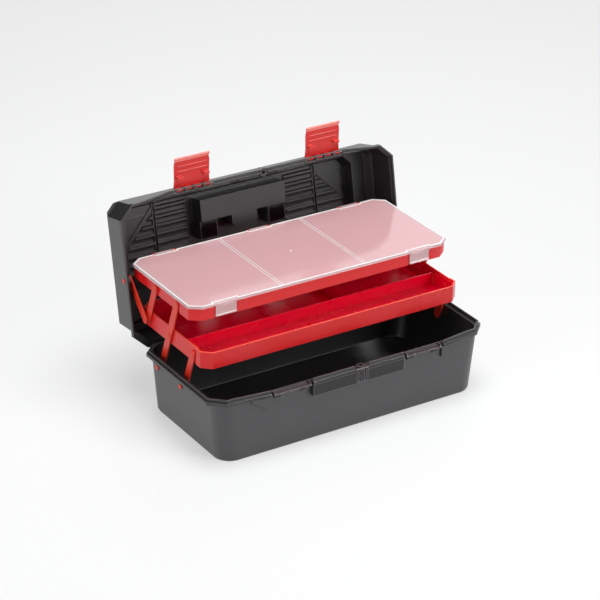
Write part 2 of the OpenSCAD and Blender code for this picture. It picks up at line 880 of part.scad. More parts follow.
// Flat bar with round ends through a list of pivots, cut from one outline
module bar(points, x0) {
    first = points[0];
    last = points[len(points) - 1];
    step = last - first;
    translate([x0, 0, 0])
        rotate([90, 0, 90])
            linear_extrude(arm_t) {
                for (p = [first, last]) translate(p) circle(r = arm_w / 2);
                translate(first)
                    rotate(atan2(step[1], step[0]))
                        translate([0, -arm_w / 2 + arm_waist]) square([norm(step), arm_w - 2 * arm_waist]);
            }
}

// Moulded pin pointing inwards, through a tray's wall, with its round head on the arm
module inward_pin(p) {
    rod(p, pin_r, tray_side - tray_wall - 0.6, arm_x + 1);
    rod(p, head_r, arm_out - 0.5, arm_out + boss_t);
}

// Moulded pin pointing outwards through the tub's side wall, with its head outside
module outward_pin(p, skin) {
    rod(p, pin_r, arm_out - 1, skin + 1);
    rod(p, head_r, skin, skin + head_t);
}

tub_skin = wall_x - draft_x + draft_x / rim_z * (pivot_z + head_r) + 0.1;
lid_skin = half_l - lid_in - 0.3;

module long_arm() {
    color(red) {
        bar([long_foot, low_pin, high_pin], arm_x);
        outward_pin(long_foot, tub_skin);
        inward_pin(low_pin);
        inward_pin(high_pin);
    }
}

module front_arm() {
    color(red) {
        bar([front_foot, low_pin - [front_gap, 0]], arm_x);
        outward_pin(front_foot, tub_skin);
        inward_pin(low_pin - [front_gap, 0]);
    }
}

module rear_arm() {
    color(red) {
        bar([rear_pin, high_pin + [rear_gap, 0]], arm_x);
        inward_pin(rear_pin);
        inward_pin(high_pin + [rear_gap, 0]);
    }
}

// The link hangs on the lid; its lower end stops short of the rear arm's pin
module lid_link() {
    color(red) {
        bar([link_pin, rear_pin], link_x);
        rod(link_pin, pin_r, link_out - 1, lid_skin + 1);
        rod(link_pin, head_r, lid_skin, lid_skin + head_t);
        rod(rear_pin, head_r, arm_out + boss_t + gap, link_x + 0.5);
    }
}

// ---- Trays, drawn shut ----

// Outline of a tray, drawn in by d: full length at the front corners, stepped back for the arms
module tray_outline(y, corner, block_y, d) {
    intersection() {
        cut_rect(tray_l / 2 - d, y[0] + d, y[1] - d, corner[0] - 0.41 * d, corner[1] - 0.41 * d);
        union() {
            translate([-tray_side + d, y[0]]) square([2 * (tray_side - d), y[1] - y[0]]);
            translate([-tray_l / 2, y[0]]) square([tray_l, block_y - y[0] - d]);
        }
    }
}

module tray_body(y, z, corner, block_y) {
    difference() {
        translate([0, 0, z[0]]) linear_extrude(z[1] - z[0]) tray_outline(y, corner, block_y, 0);
        translate([0, 0, z[0] + tray_wall])
            linear_extrude(z[1] - z[0])
                tray_outline(y, corner, block_y, tray_wall);
    }
}

module tray_holes(p, gap_y) {
    for (q = [p, p + [gap_y, 0]]) both_sides() rod(q, pin_hole_r, tray_side - tray_wall - 1, tray_side + 1);
}

module lower_tray() {
    pins = low_shut;
    block_y = pins[0] - front_gap - block_d;
    color(red)
        raised(low_rise)
            difference() {
                union() {
                    tray_body(low_y, low_z, low_corner, block_y);
                    // Rounded bead inside the rim
                    translate([0, 0, low_z[1] - rim_bead_down])
                        linear_extrude(rim_bead_h)
                            difference() {
                                tray_outline(low_y, low_corner, block_y, tray_wall - eps);
                                tray_outline(low_y, low_corner, block_y, tray_wall + rim_bead_t);
                            }
                    // Channels that hold the two dividers
                    for (x = [-tray_side + tray_wall, tray_side - tray_wall - channel_d], e = [-1, 1])
                        translate([x, long_divider_y + e * channel_off - channel_t / 2, low_z[0] + 1])
                            cube([channel_d, channel_t, channel_h]);
                    for (e = [-1, 1])
                        translate([
                            cross_divider_x + e * channel_off - channel_t / 2,
                            low_y[1] - tray_wall - channel_d,
                            low_z[0] + 1
                        ])
                            cube([channel_t, channel_d + 0.5, channel_h]);
                }
                tray_holes(pins, rear_gap);
                tray_holes(pins - [front_gap, 0], 0);
            }
}

module long_divider() {
    color(red)
        raised(low_rise)
            difference() {
                translate([-tray_side + tray_wall + gap, long_divider_y - divider_t / 2, low_z[0] + tray_wall])
                    cube([2 * (tray_side - tray_wall - gap), divider_t, low_up + low_down - tray_wall - long_divider_down]);
                // Slot for the cross divider
                translate([cross_divider_x - divider_t / 2 - divider_slot, long_divider_y, low_z[0] + tray_wall - eps])
                    cube([divider_t + 2 * divider_slot, divider_t, low_up + low_down]);
            }
}

module cross_divider() {
    color(red)
        raised(low_rise)
            translate([cross_divider_x - divider_t / 2, long_divider_y + divider_slot, low_z[0] + tray_wall])
                cube([
                    divider_t,
                    low_y[1] - tray_wall - gap - long_divider_y - divider_slot,
                    low_up + low_down - tray_wall - cross_divider_down
                ]);
}

module upper_tray() {
    block_y = high_shut[0] - block_d;
    color(red)
        raised(high_rise)
            difference() {
                union() {
                    tray_body(high_y, high_z, high_corner, block_y);
                    // Dividers under the cover's ribs
                    for (s = [-1, 1])
                        translate([s * divider_x - divider_t / 2, high_y[0] + 1, high_z[0] + 1])
                            cube([divider_t, high_y[1] - high_y[0] - 2, high_up + high_down - 1.6]);
                    // Back walls of the recesses behind the cover's tabs
                    for (s = [-1, 1])
                        translate([s * tab_x - tab_w / 2 - recess_side, high_y[0] + recess_d - 1, high_z[0]])
                            cube([tab_w + 2 * recess_side, tray_wall, high_up + high_down]);
                    for (s = [-1, 1], e = [-1, 1])
                        translate([s * tab_x + e * (tab_w / 2 + recess_side - 1) - 1, high_y[0], high_z[0]])
                            cube([2, recess_d, high_up + high_down]);
                    cover_lugs();
                }
                // Recesses for the cover's tabs
                for (s = [-1, 1])
                    translate([s * tab_x - tab_w / 2 - recess_side / 2, high_y[0] - 1, high_z[0] - 1])
                        cube([tab_w + recess_side, recess_d, high_up + high_down + 2]);
                tray_holes(high_shut, rear_gap);
                for (x = [-cover_hinge_x, 0, cover_hinge_x])
                    rod([cover_hinge_y, cover_hinge_z], cover_pin_r, x - cover_knuckle / 2 - 6, x + cover_knuckle / 2 + 6);
            }
}

// Lugs on the tray's back that carry the cover's hinge pins
module cover_lugs() {
    for (x = [-cover_hinge_x, 0, cover_hinge_x], e = [-1, 1]) {
        x0 = x + e * (cover_knuckle / 2 + lug_gap + lug_w / 2) - lug_w / 2;
        rod([cover_hinge_y, cover_hinge_z], cover_knuckle_r, x0, x0 + lug_w);
        translate([x0, high_y[1] - 1, cover_hinge_z - 7])
            cube([lug_w, cover_hinge_y - high_y[1] + 1, 7 + cover_knuckle_r - 1]);
    }
}

// ---- Clear cover, drawn shut ----

module cover_outline(d) {
    cut_rect(
        tray_l / 2 + cover_over - d,
        high_y[0] - cover_lap + d,
        high_y[1] + 0.4 - d,
        cover_cut_x - 0.41 * d,
        cover_cut_y - 0.41 * d
    );
}

// Places where the cover's edge steps in, round the tabs in front and the hinges behind
module edge_steps(wide, deep) {
    for (s = [-1, 1])
        translate([s * tab_x - tab_w / 2 - wide, high_y[0] - cover_lap - 1])
            square([tab_w + 2 * wide, 1 + deep]);
    for (x = [-cover_hinge_x, 0, cover_hinge_x])
        translate([x - cover_knuckle / 2 - wide, high_y[1] - deep + 1])
            square([cover_knuckle + 2 * wide, deep + 10]);
}

// Bead round the cover, which steps in with its edge
module cover_bead() {
    difference() {
        cover_outline(bead_edge);
        edge_steps(bead_step, bead_step + 2);
        difference() {
            cover_outline(bead_edge + bead_w);
            edge_steps(bead_step + bead_w, bead_step + 2 + bead_w);
        }
    }
}

module cover_tab(s) {
    y0 = high_y[0] - cover_lap;
    translate([s * tab_x - tab_w / 2, y0, cover_z + cover_t - tab_h]) cube([tab_w, tab_t, tab_h]);
    // Ledge across the tab's foot, to pull it by
    translate([s * tab_x - tab_w / 2, y0 - tab_ledge, cover_z + cover_t - tab_h])
        cube([tab_w, tab_ledge + 0.1, 2]);
}

module tray_cover() {
    color(clear)
        raised(high_rise)
            difference() {
                union() {
                    translate([0, 0, cover_z]) linear_extrude(cover_t) cover_outline(0);
                    translate([0, 0, cover_z + cover_t - eps]) linear_extrude(bead_h + eps) cover_bead();
                    // Double line over each of the tray's dividers
                    for (s = [-1, 1], e = [-1, 1])
                        translate([s * divider_x + e * line_gap / 2 - line_w / 2, high_y[0] + 1, cover_z + cover_t - eps])
                            cube([line_w, high_y[1] - high_y[0] - 3, line_h]);
                    // Mark of the moulding gate
                    translate([0, (high_y[0] + high_y[1]) / 2, cover_z + cover_t - eps])
                        cylinder(r = gate_r, h = line_h);
                    // Skirt outside the tray's rim, which stops before the rear corners
                    translate([0, 0, cover_z - cover_skirt])
                        linear_extrude(cover_skirt + eps)
                            difference() {
                                cover_outline(0);
                                cover_outline(1.3);
                                translate([-half_l, high_y[1] - cover_cut_y - 2]) square([box_l, 30]);
                            }
                    // Ribs over the tray's dividers
                    for (s = [-1, 1])
                        translate([s * divider_x - under_rib_w / 2, high_y[0] + 4, cover_z - 0.4])
                            cube([under_rib_w, high_y[1] - high_y[0] - 8, 0.5]);
                    for (s = [-1, 1]) cover_tab(s);
                    for (x = [-cover_hinge_x, 0, cover_hinge_x]) {
                        rod([cover_hinge_y, cover_hinge_z], cover_knuckle_r, x - cover_knuckle / 2, x + cover_knuckle / 2);
                        translate([x - cover_knuckle / 2, high_y[1] - 1, cover_z])
                            cube([cover_knuckle, cover_hinge_y - high_y[1] + 1, cover_t]);
                    }
                }
                // The plate is thinner over the tabs
                translate([0, 0, cover_z + cover_t - line_h])
                    linear_extrude(2)
                        intersection() {
                            edge_steps(bead_step - 0.5, bead_step + 1.5);
                            translate([-half_l, -half_d]) square([box_l, half_d]);
                        }
                // Slit above each tab, which lets it flex
                for (s = [-1, 1])
                    translate([s * tab_x - tab_w / 2 + tab_slit, high_y[0] - 5, cover_z - 3])
                        cube([tab_w - 2 * tab_slit, 4.9, 1]);
                for (x = [-cover_hinge_x, 0, cover_hinge_x])
                    rod(
                        [cover_hinge_y, cover_hinge_z],
                        cover_pin_r + run,
                        x - cover_knuckle / 2 - 1,
                        x + cover_knuckle / 2 + 1
                    );
                // Notches beside the knuckles, clear of the tray's lugs
                for (x = [-cover_hinge_x, 0, cover_hinge_x], e = [-1, 1])
                    translate([x + (e * (cover_knuckle + cover_notch) - cover_notch) / 2, high_y[1] - 3, cover_z - 5])
                        cube([cover_notch, 20, 12]);
            }
}

module cover_pin(x) {
    color(steel)
        raised(high_rise)
            rod([cover_hinge_y, cover_hinge_z], cover_pin_r, x - cover_knuckle / 2 - 4, x + cover_knuckle / 2 + 4);
}

base_tub();
hinge_pin(-1);  // hinge_pin_left
hinge_pin(1);  // hinge_pin_right
lid_shell();
handle();
latch(-1);  // latch_left
latch(1);  // latch_right
latch_pin(-1);  // latch_pin_left
latch_pin(1);  // latch_pin_right
mirror([1, 0, 0]) long_arm();  // long_arm_left
long_arm();  // long_arm_right
mirror([1, 0, 0]) front_arm();  // front_arm_left
front_arm();  // front_arm_right
mirror([1, 0, 0]) rear_arm();  // rear_arm_left
rear_arm();  // rear_arm_right
mirror([1, 0, 0]) lid_link();  // lid_link_left
lid_link();  // lid_link_right
lower_tray();
long_divider();
cross_divider();
upper_tray();
tray_cover();
cover_pin(-cover_hinge_x);  // cover_pin_left
cover_pin(0);  // cover_pin_middle
cover_pin(cover_hinge_x);  // cover_pin_right
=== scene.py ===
"""Looks of a plastic cantilever tool box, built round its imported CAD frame.

The tub, the lid, the trays and their linkage come from the frame. This script rounds the
edges of the trays, arms and handle, adds the rings round the arms' pins, dresses the pieces
in plastic and steel, and sets the box on a pale floor under soft studio light.
"""

import json
import logging
import math
from dataclasses import dataclass
from enum import Enum
from typing import Callable, Sequence

import bpy
from mathutils import Matrix, Vector


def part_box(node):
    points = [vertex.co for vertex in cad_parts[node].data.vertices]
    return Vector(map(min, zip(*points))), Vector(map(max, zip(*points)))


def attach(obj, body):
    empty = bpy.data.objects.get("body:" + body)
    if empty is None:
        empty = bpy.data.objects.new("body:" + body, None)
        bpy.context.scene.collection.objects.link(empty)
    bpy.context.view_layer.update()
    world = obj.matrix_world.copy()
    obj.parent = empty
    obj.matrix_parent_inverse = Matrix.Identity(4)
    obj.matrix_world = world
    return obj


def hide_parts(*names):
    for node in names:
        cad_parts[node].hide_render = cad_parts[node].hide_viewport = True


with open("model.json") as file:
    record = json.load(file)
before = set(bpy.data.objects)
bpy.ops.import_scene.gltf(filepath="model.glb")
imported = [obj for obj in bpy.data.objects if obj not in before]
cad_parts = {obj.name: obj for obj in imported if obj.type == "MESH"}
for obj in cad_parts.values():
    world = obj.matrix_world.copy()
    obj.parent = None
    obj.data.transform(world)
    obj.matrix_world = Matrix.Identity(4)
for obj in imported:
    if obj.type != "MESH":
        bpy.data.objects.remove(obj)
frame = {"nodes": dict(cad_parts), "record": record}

LOG = logging.getLogger("tool_box")
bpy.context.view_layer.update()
MM = 0.001
SIDES = {"left": -1, "right": 1}
WHITE = (1.0, 1.0, 1.0, 1.0)
# Numbers of the colour Mix node's sockets, which share their names with others
MIX_FACTOR, MIX_A, MIX_B, MIX_RESULT = 0, 6, 7, 2
# Most of a noise lies between these values
NOISE_LOW, NOISE_HIGH = 0.3, 0.7
# A face looks along an axis when its normal has more than this of it
FACING = 0.7


# ---------------------------------------------------------------- colours and nodes


def linear(code: str, alpha: float = 1.0) -> tuple[float, float, float, float]:
    """Turns an sRGB hex colour to linear.

    Args:
        code: The colour as six hex digits, with or without a hash.
        alpha: The fourth value of the result.

    Returns:
        Linear red, green, blue and the alpha.
    """
    code = code.lstrip("#")
    parts = [int(code[i : i + 2], 16) / 255 for i in (0, 2, 4)]
    turned = [p / 12.92 if p <= 0.04045 else ((p + 0.055) / 1.055) ** 2.4 for p in parts]
    return turned[0], turned[1], turned[2], alpha


def add_node(
    tree: bpy.types.NodeTree,
    kind: str,
    settings: dict | None = None,
    links: dict | None = None,
) -> bpy.types.Node:
    """Adds one node with its settings and links.

    Args:
        tree: The node tree that takes the node.
        kind: Blender's name of the node type.
        settings: Values by socket name, socket number or property name.
        links: Output sockets to link from, by the name or number of the input.

    Returns:
        The new node.
    """
    node = tree.nodes.new(kind)
    for key, value in (settings or {}).items():
        if isinstance(key, int) or key in node.inputs:
            node.inputs[key].default_value = value
        else:
            setattr(node, key, value)
    for key, source in (links or {}).items():
        tree.links.new(source, node.inputs[key])
    return node


def blank_material(name: str) -> tuple[bpy.types.Material, bpy.types.NodeTree]:
    """Makes a node material with an empty tree.

    Args:
        name: The material's name.

    Returns:
        The material and its tree.
    """
    made = bpy.data.materials.new(name)
    made.use_nodes = True
    made.node_tree.nodes.clear()
    return made, made.node_tree


# ---------------------------------------------------------------- finishes


@dataclass(frozen=True)
class Moulded:
    """Injection-moulded polypropylene, from a spark-eroded or polished mould.

    The mould's fine grain breaks up the highlights, the melt's flow leaves broad, faint clouds
    in colour and gloss, and the rounded edges go paler than the faces: partly wear from use and
    handling, partly a painted highlight along the edges.
    """

    name: str
    colour: str
    # Colour of the paler edges: partly wear, partly a painted highlight
    edge: str
    roughness: float = 0.4
    ior: float = 1.49
    # The real grain is about 0.2 mm; it is drawn at 2.4 mm so that it shows
    grain_mm: float = 2.4
    grain_depth_mm: float = 0.008
    cloud_mm: float = 60.0
    cloud: float = 0.08
    # How far the edges go to that colour: wear and painted highlight
    rub_and_highlight: float = 0.5
    subsurface: float = 0.0
    specular: float = 0.5
    round_mm: float = 0.7
    # Cosines of the angle between a face and its rounded edge where wear and painted highlight
    # start and are full
    rub_and_highlight_start: float = 0.985
    rub_and_highlight_full: float = 0.80
    cloud_reach: float = 1.6
    gloss_spread: float = 0.04
    grain_strength: float = 0.5
    scatter_mm: float = 2.0

    def material(self) -> bpy.types.Material:
        """Builds the material."""
        made, tree = blank_material(self.name)
        place = add_node(tree, "ShaderNodeTexCoord").outputs["Object"]
        grain = add_node(
            tree,
            "ShaderNodeTexNoise",
            {"Scale": 1 / (self.grain_mm * MM), "Detail": 2.0, "Roughness": 0.6},
            {"Vector": place},
        )
        cloud = add_node(
            tree,
            "ShaderNodeTexNoise",
            {"Scale": 1 / (self.cloud_mm * MM), "Detail": 3.0, "Roughness": 0.55},
            {"Vector": place},
        )
        base = linear(self.colour)
        reach = self.cloud_reach * self.cloud
        pale = tuple(min(1.0, c * (1 + reach)) for c in base[:3]) + (1.0,)
        deep = tuple(c * (1 - reach) for c in base[:3]) + (1.0,)
        tint = add_node(
            tree,
            "ShaderNodeMix",
            {"data_type": "RGBA", MIX_A: deep, MIX_B: pale},
            {MIX_FACTOR: cloud.outputs["Fac"]},
        )
        rounded = add_node(tree, "ShaderNodeBevel", {"samples": 8, "Radius": self.round_mm * MM})
        face = add_node(tree, "ShaderNodeNewGeometry").outputs["Normal"]
        turn = add_node(
            tree,
            "ShaderNodeVectorMath",
            {"operation": "DOT_PRODUCT"},
            {0: rounded.outputs["Normal"], 1: face},
        )
        # Wear and painted highlight: where the rounded normal turns from the face's, the colour
        # goes towards the paler edge
        corner = add_node(
            tree,
            "ShaderNodeMapRange",
            {
                "From Min": self.rub_and_highlight_start,
                "From Max": self.rub_and_highlight_full,
                "To Min": 0.0,
                "To Max": self.rub_and_highlight,
            },
            {"Value": turn.outputs["Value"]},
        )
        worn_and_highlit = add_node(
            tree,
            "ShaderNodeMix",
            {"data_type": "RGBA", MIX_B: linear(self.edge)},
            {MIX_FACTOR: corner.outputs["Result"], MIX_A: tint.outputs[MIX_RESULT]},
        )
        gloss = add_node(
            tree,
            "ShaderNodeMapRange",
            {
                "From Min": NOISE_LOW,
                "From Max": NOISE_HIGH,
                "To Min": self.roughness - self.gloss_spread,
                "To Max": self.roughness + self.gloss_spread,
            },
            {"Value": cloud.outputs["Fac"]},
        )
        bump = add_node(
            tree,
            "ShaderNodeBump",
            {"Strength": self.grain_strength, "Distance": self.grain_depth_mm * MM},
            {"Height": grain.outputs["Fac"], "Normal": rounded.outputs["Normal"]},
        )
        skin = add_node(
            tree,
            "ShaderNodeBsdfPrincipled",
            {
                "IOR": self.ior,
                "Specular IOR Level": self.specular,
                "Subsurface Weight": self.subsurface,
                "Subsurface Scale": self.scatter_mm * MM,
            },
            {
                "Base Color": worn_and_highlit.outputs[MIX_RESULT],
                "Roughness": gloss.outputs["Result"],
                "Normal": bump.outputs["Normal"],
            },
        )
        add_node(tree, "ShaderNodeOutputMaterial", {}, {"Surface": skin.outputs["BSDF"]})
        return made


@dataclass(frozen=True)
class Frosted:
    """Natural polypropylene sheet, moulded thin, so that it is milky but lets light through.

    Its face is polished and slightly wavy, which gives clear but soft-edged reflections. Its pink
    tint is painted: it stands for the red light of the trays under it.
    """

    name: str
    # Painted light: the pink of both colours stands for the red light of the trays under the sheet
    tint: str = "#ffe2e5"
    milk_and_red_glow: str = "#fccbcf"
    see_through: float = 0.38
    roughness: float = 0.10
    ior: float = 1.49
    wave_mm: float = 70.0
    wave_depth_mm: float = 0.2
    wave_strength: float = 0.3
    # The real texture is about 0.2 mm; it is drawn at 1.2 mm so that it shows
    fine_mm: float = 1.2
    fine_depth_mm: float = 0.01
    fine_strength: float = 0.2
    round_mm: float = 0.4
    glow_share: float = 0.2

    def material(self) -> bpy.types.Material:
        """Builds the material."""
        made, tree = blank_material(self.name)
        place = add_node(tree, "ShaderNodeTexCoord").outputs["Object"]
        wave = add_node(
            tree,
            "ShaderNodeTexNoise",
            {"Scale": 1 / (self.wave_mm * MM), "Detail": 2.0},
            {"Vector": place},
        )
        fine = add_node(
            tree,
            "ShaderNodeTexNoise",
            {"Scale": 1 / (self.fine_mm * MM), "Detail": 2.0},
            {"Vector": place},
        )
        rounded = add_node(tree, "ShaderNodeBevel", {"samples": 6, "Radius": self.round_mm * MM})
        swell = add_node(
            tree,
            "ShaderNodeBump",
            {"Strength": self.wave_strength, "Distance": self.wave_depth_mm * MM},
            {"Height": wave.outputs["Fac"], "Normal": rounded.outputs["Normal"]},
        )
        bump = add_node(
            tree,
            "ShaderNodeBump",
            {"Strength": self.fine_strength, "Distance": self.fine_depth_mm * MM},
            {"Height": fine.outputs["Fac"], "Normal": swell.outputs["Normal"]},
        )
        body = add_node(
            tree,
            "ShaderNodeBsdfDiffuse",
            {"Color": linear(self.milk_and_red_glow)},
            {"Normal": bump.outputs["Normal"]},
        )
        glow = add_node(tree, "ShaderNodeBsdfTranslucent", {"Color": linear(self.milk_and_red_glow)})
        milky = add_node(
            tree,
            "ShaderNodeMixShader",
            {0: self.glow_share},
            {1: body.outputs["BSDF"], 2: glow.outputs["BSDF"]},
        )
        through = add_node(tree, "ShaderNodeBsdfTransparent", {"Color": linear(self.tint)})
        mixed = add_node(
            tree,
            "ShaderNodeMixShader",
            {0: self.see_through},
            {1: milky.outputs["Shader"], 2: through.outputs["BSDF"]},
        )
        gloss = add_node(
            tree,
            "ShaderNodeBsdfGlossy",
            {"Color": WHITE, "Roughness": self.roughness},
            {"Normal": bump.outputs["Normal"]},
        )
        facing = add_node(
            tree, "ShaderNodeFresnel", {"IOR": self.ior}, {"Normal": bump.outputs["Normal"]}
        )
        coated = add_node(
            tree,
            "ShaderNodeMixShader",
            {},
            {0: facing.outputs["Fac"], 1: mixed.outputs["Shader"], 2: gloss.outputs["BSDF"]},
        )
        add_node(tree, "ShaderNodeOutputMaterial", {}, {"Surface": coated.outputs["Shader"]})
        return made


@dataclass(frozen=True)
class Steel:
    """Zinc-plated steel wire, drawn and cut off, with fine marks round it."""

    name: str = "plated_steel"
    colour: str = "#c9cacd"
    roughness: float = 0.32
    # How much smoother and rougher than that the drawn marks are
    smoother: float = 0.08
    rougher: float = 0.12
    # Marks a metre along the wire and across it
    marks: tuple[float, float, float] = (300.0, 3000.0, 3000.0)
    mark_depth_mm: float = 0.01
    mark_strength: float = 0.3

    def material(self) -> bpy.types.Material:
        """Builds the material."""
        made, tree = blank_material(self.name)
        place = add_node(tree, "ShaderNodeTexCoord").outputs["Object"]
        drawn = add_node(
            tree,
            "ShaderNodeMapping",
            {"Scale": self.marks},
            {"Vector": place},
        )
        lines = add_node(
            tree,
            "ShaderNodeTexNoise",
            {"Scale": 1.0, "Detail": 3.0},
            {"Vector": drawn.outputs["Vector"]},
        )
        rough = add_node(
            tree,
            "ShaderNodeMapRange",
            {"To Min": self.roughness - self.smoother, "To Max": self.roughness + self.rougher},
            {"Value": lines.outputs["Fac"]},
        )
        bump = add_node(
            tree,
            "ShaderNodeBump",
            {"Strength": self.mark_strength, "Distance": self.mark_depth_mm * MM},
            {"Height": lines.outputs["Fac"]},
        )
        metal = add_node(
            tree,
            "ShaderNodeBsdfPrincipled",
            {"Base Color": linear(self.colour), "Metallic": 1.0},
            {"Roughness": rough.outputs["Result"], "Normal": bump.outputs["Normal"]},
        )
        add_node(tree, "ShaderNodeOutputMaterial", {}, {"Surface": metal.outputs["BSDF"]})
        return made


class Slot(Enum):
    """Material slots of the record."""

    BLACK = "black_plastic"
    RED = "red_plastic"
    CLEAR = "clear_plastic"
    STEEL = "pin_steel"


NODES_OF = {
    Slot.BLACK: ("base_tub", "lid_shell", "handle"),
    Slot.RED: (
        "latch_left", "latch_right", "long_arm_left", "long_arm_right", "front_arm_left",
        "front_arm_right", "rear_arm_left", "rear_arm_right", "lid_link_left",
        "lid_link_right", "lower_tray", "long_divider", "cross_divider", "upper_tray",
    ),
    Slot.CLEAR: ("tray_cover",),
    Slot.STEEL: (
        "hinge_pin_left", "hinge_pin_right", "latch_pin_left", "latch_pin_right",
        "cover_pin_left", "cover_pin_middle", "cover_pin_right",
    ),
}
BODY_OF = {
    node: body
    for body, nodes in frame["record"]["behaviour"]["bodies"].items()
    for node in nodes
}


class Finish(Enum):
    """Finishes of the box's pieces."""

    SATIN = "black_spark_eroded"
    POLISHED = "black_polished"
    MATT = "black_matt_painted_ledge_highlight"
    RED = "red_spark_eroded"
    CRIMSON = "red_polished_painted_bounce"
    RIM = "red_rim_painted_highlight"
    ARM = "red_arm_painted_light"
    LATCH = "red_latch_polypropylene"
    LIP = "red_thin_edge_painted_glow"
    SHEET = "natural_sheet"
    BEAD = "natural_thick_edge"
    LINE = "natural_raised_line"
    STEEL = "plated_steel"


# The second colour of each moulded finish is its paler edge: wear and a painted highlight
FINISHES = {
    Finish.SATIN: Moulded(
        Finish.SATIN.value, "#232123", "#77746f", roughness=0.34, specular=0.75, rub_and_highlight=0.45
    ),
    # Its pale, widely rounded edges are mostly a painted highlight along its edges, besides wear
    Finish.POLISHED: Moulded(
        Finish.POLISHED.value, "#120a0f", "#c9c2cf", roughness=0.16, rub_and_highlight=0.8, round_mm=1.3,
        grain_depth_mm=0.004,
    ),
    # Painted highlight: only the louvres' ledges wear this, for the light lines along them
    Finish.MATT: Moulded(
        Finish.MATT.value, "#2b2226", "#6a5f64", roughness=0.5, rub_and_highlight=0.5, round_mm=1.0
    ),
    Finish.RED: Moulded(
        Finish.RED.value, "#e01a1e", "#ff8a64", roughness=0.30, cloud=0.03, rub_and_highlight=0.6,
        round_mm=1.0, subsurface=0.06,
    ),
    # Inside faces: polished, and painted a deeper, bluer crimson than the outside for the red
    # light bouncing inside the trays
    Finish.CRIMSON: Moulded(
        Finish.CRIMSON.value, "#ea0032", "#ff6a50", roughness=0.26, cloud=0.03, rub_and_highlight=0.5,
        round_mm=1.0, specular=0.25, subsurface=0.06, grain_depth_mm=0.004,
    ),
    # Painted highlight: a lighter, more orange red on the trays' top rims, for the light they
    # catch
    Finish.RIM: Moulded(
        Finish.RIM.value, "#f4482e", "#ffb08a", roughness=0.28, cloud=0.03, rub_and_highlight=0.6,
        round_mm=1.0,
    ),
    # Painted light: a lighter, more orange red than the trays, for the strong light on the arms
    Finish.ARM: Moulded(
        Finish.ARM.value, "#e03420", "#ff9a86", roughness=0.34, cloud=0.04, rub_and_highlight=0.45,
        subsurface=0.06,
    ),
    Finish.LATCH: Moulded(
        Finish.LATCH.value, "#d02420", "#ffa498", roughness=0.30, cloud=0.04, rub_and_highlight=0.5,
        subsurface=0.15,
    ),
    # Painted glow and highlight: the thin lip is paler, besides its real subsurface scattering
    Finish.LIP: Moulded(
        Finish.LIP.value, "#f08a80", "#ffd8d2", roughness=0.25, cloud=0.04, rub_and_highlight=0.5,
        subsurface=0.3,
    ),
    Finish.SHEET: Frosted(Finish.SHEET.value),
    # Its pink is painted red light from the trays, as on the sheet
    Finish.BEAD: Frosted(
        Finish.BEAD.value, tint="#ffeaec", milk_and_red_glow="#f9d9dc", see_through=0.44, roughness=0.16
    ),
    Finish.LINE: Frosted(
        Finish.LINE.value, tint="#fff6f6", milk_and_red_glow="#ffffff", see_through=0.15, roughness=0.16
    ),
    Finish.STEEL: Steel(Finish.STEEL.value),
}


class Palette:
    """The materials of the box, each made once."""

    def __init__(self) -> None:
        """Builds every finish."""
        self.made = {key: finish.material() for key, finish in FINISHES.items()}

    def of(self, finish: Finish) -> bpy.types.Material:
        """Gives one finish's material."""
        return self.made[finish]


# ---------------------------------------------------------------- mesh work

# Corners closer than this, in metres, are one
MERGE_M = 1e-6
# Triangles that meet at less than this are one flat face, in degrees
FLAT_DEG = 0.4
# Edges sharper than this get a rounding, in degrees
SHARP_DEG = 38.0
# How far behind a face, in mm, the search for the shell's other side starts
PAST_FACE_MM = 0.4
# The most that an inner face may look away from the heart of the hollow
LOOKS_AWAY = 0.1


def clamp(value: float, low: float, high: float) -> float:
    """Keeps a value between two limits."""
    return max(low, min(high, value))


def deselect() -> None:
    """Leaves edit mode and deselects every object."""
    if bpy.context.object and bpy.context.object.mode != "OBJECT":
        bpy.ops.object.mode_set(mode="OBJECT")
    bpy.ops.object.select_all(action="DESELECT")


def activate(piece: bpy.types.Object) -> None:
    """Selects one object alone and makes it active."""
    deselect()
    piece.select_set(True)
    bpy.context.view_layer.objects.active = piece


def dress(piece: bpy.types.Object, material: bpy.types.Material) -> None:
    """Gives a piece one material all over."""
    piece.data.materials.clear()
    piece.data.materials.append(material)


def add_finishes(
    piece: bpy.types.Object, palette: Palette, finishes: Sequence[Finish]
) -> None:
    """Adds finishes behind the materials that a piece already has.

    Args:
        piece: The piece.
        palette: The made materials.
        finishes: The finishes, in the order of their slots.
    """
    for finish in finishes:
        piece.data.materials.append(palette.of(finish))


def paint(
    piece: bpy.types.Object,
    palette: Palette,
    finishes: Sequence[Finish],
    rule: Callable[[Vector, Vector], int],
) -> None:
    """Gives each face one of several finishes by its place.

    Args:
        piece: The piece to paint.
        palette: The made materials.
        finishes: The finishes to choose from.
        rule: Takes a face's centre and normal and gives the finish's number.
    """
    piece.data.materials.clear()
    add_finishes(piece, palette, finishes)
    for face in piece.data.polygons:
        face.material_index = rule(face.center, face.normal)


def apply_modifier(piece: bpy.types.Object, kind: str, **settings: object) -> None:
    """Adds one modifier to a piece and applies it.

    Args:
        piece: The piece.
        kind: Blender's name of the modifier type.
        **settings: Values of the modifier's properties.
    """
    activate(piece)
    made = piece.modifiers.new(kind.lower(), kind)
    for key, value in settings.items():
        setattr(made, key, value)
    bpy.ops.object.modifier_apply(modifier=made.name)


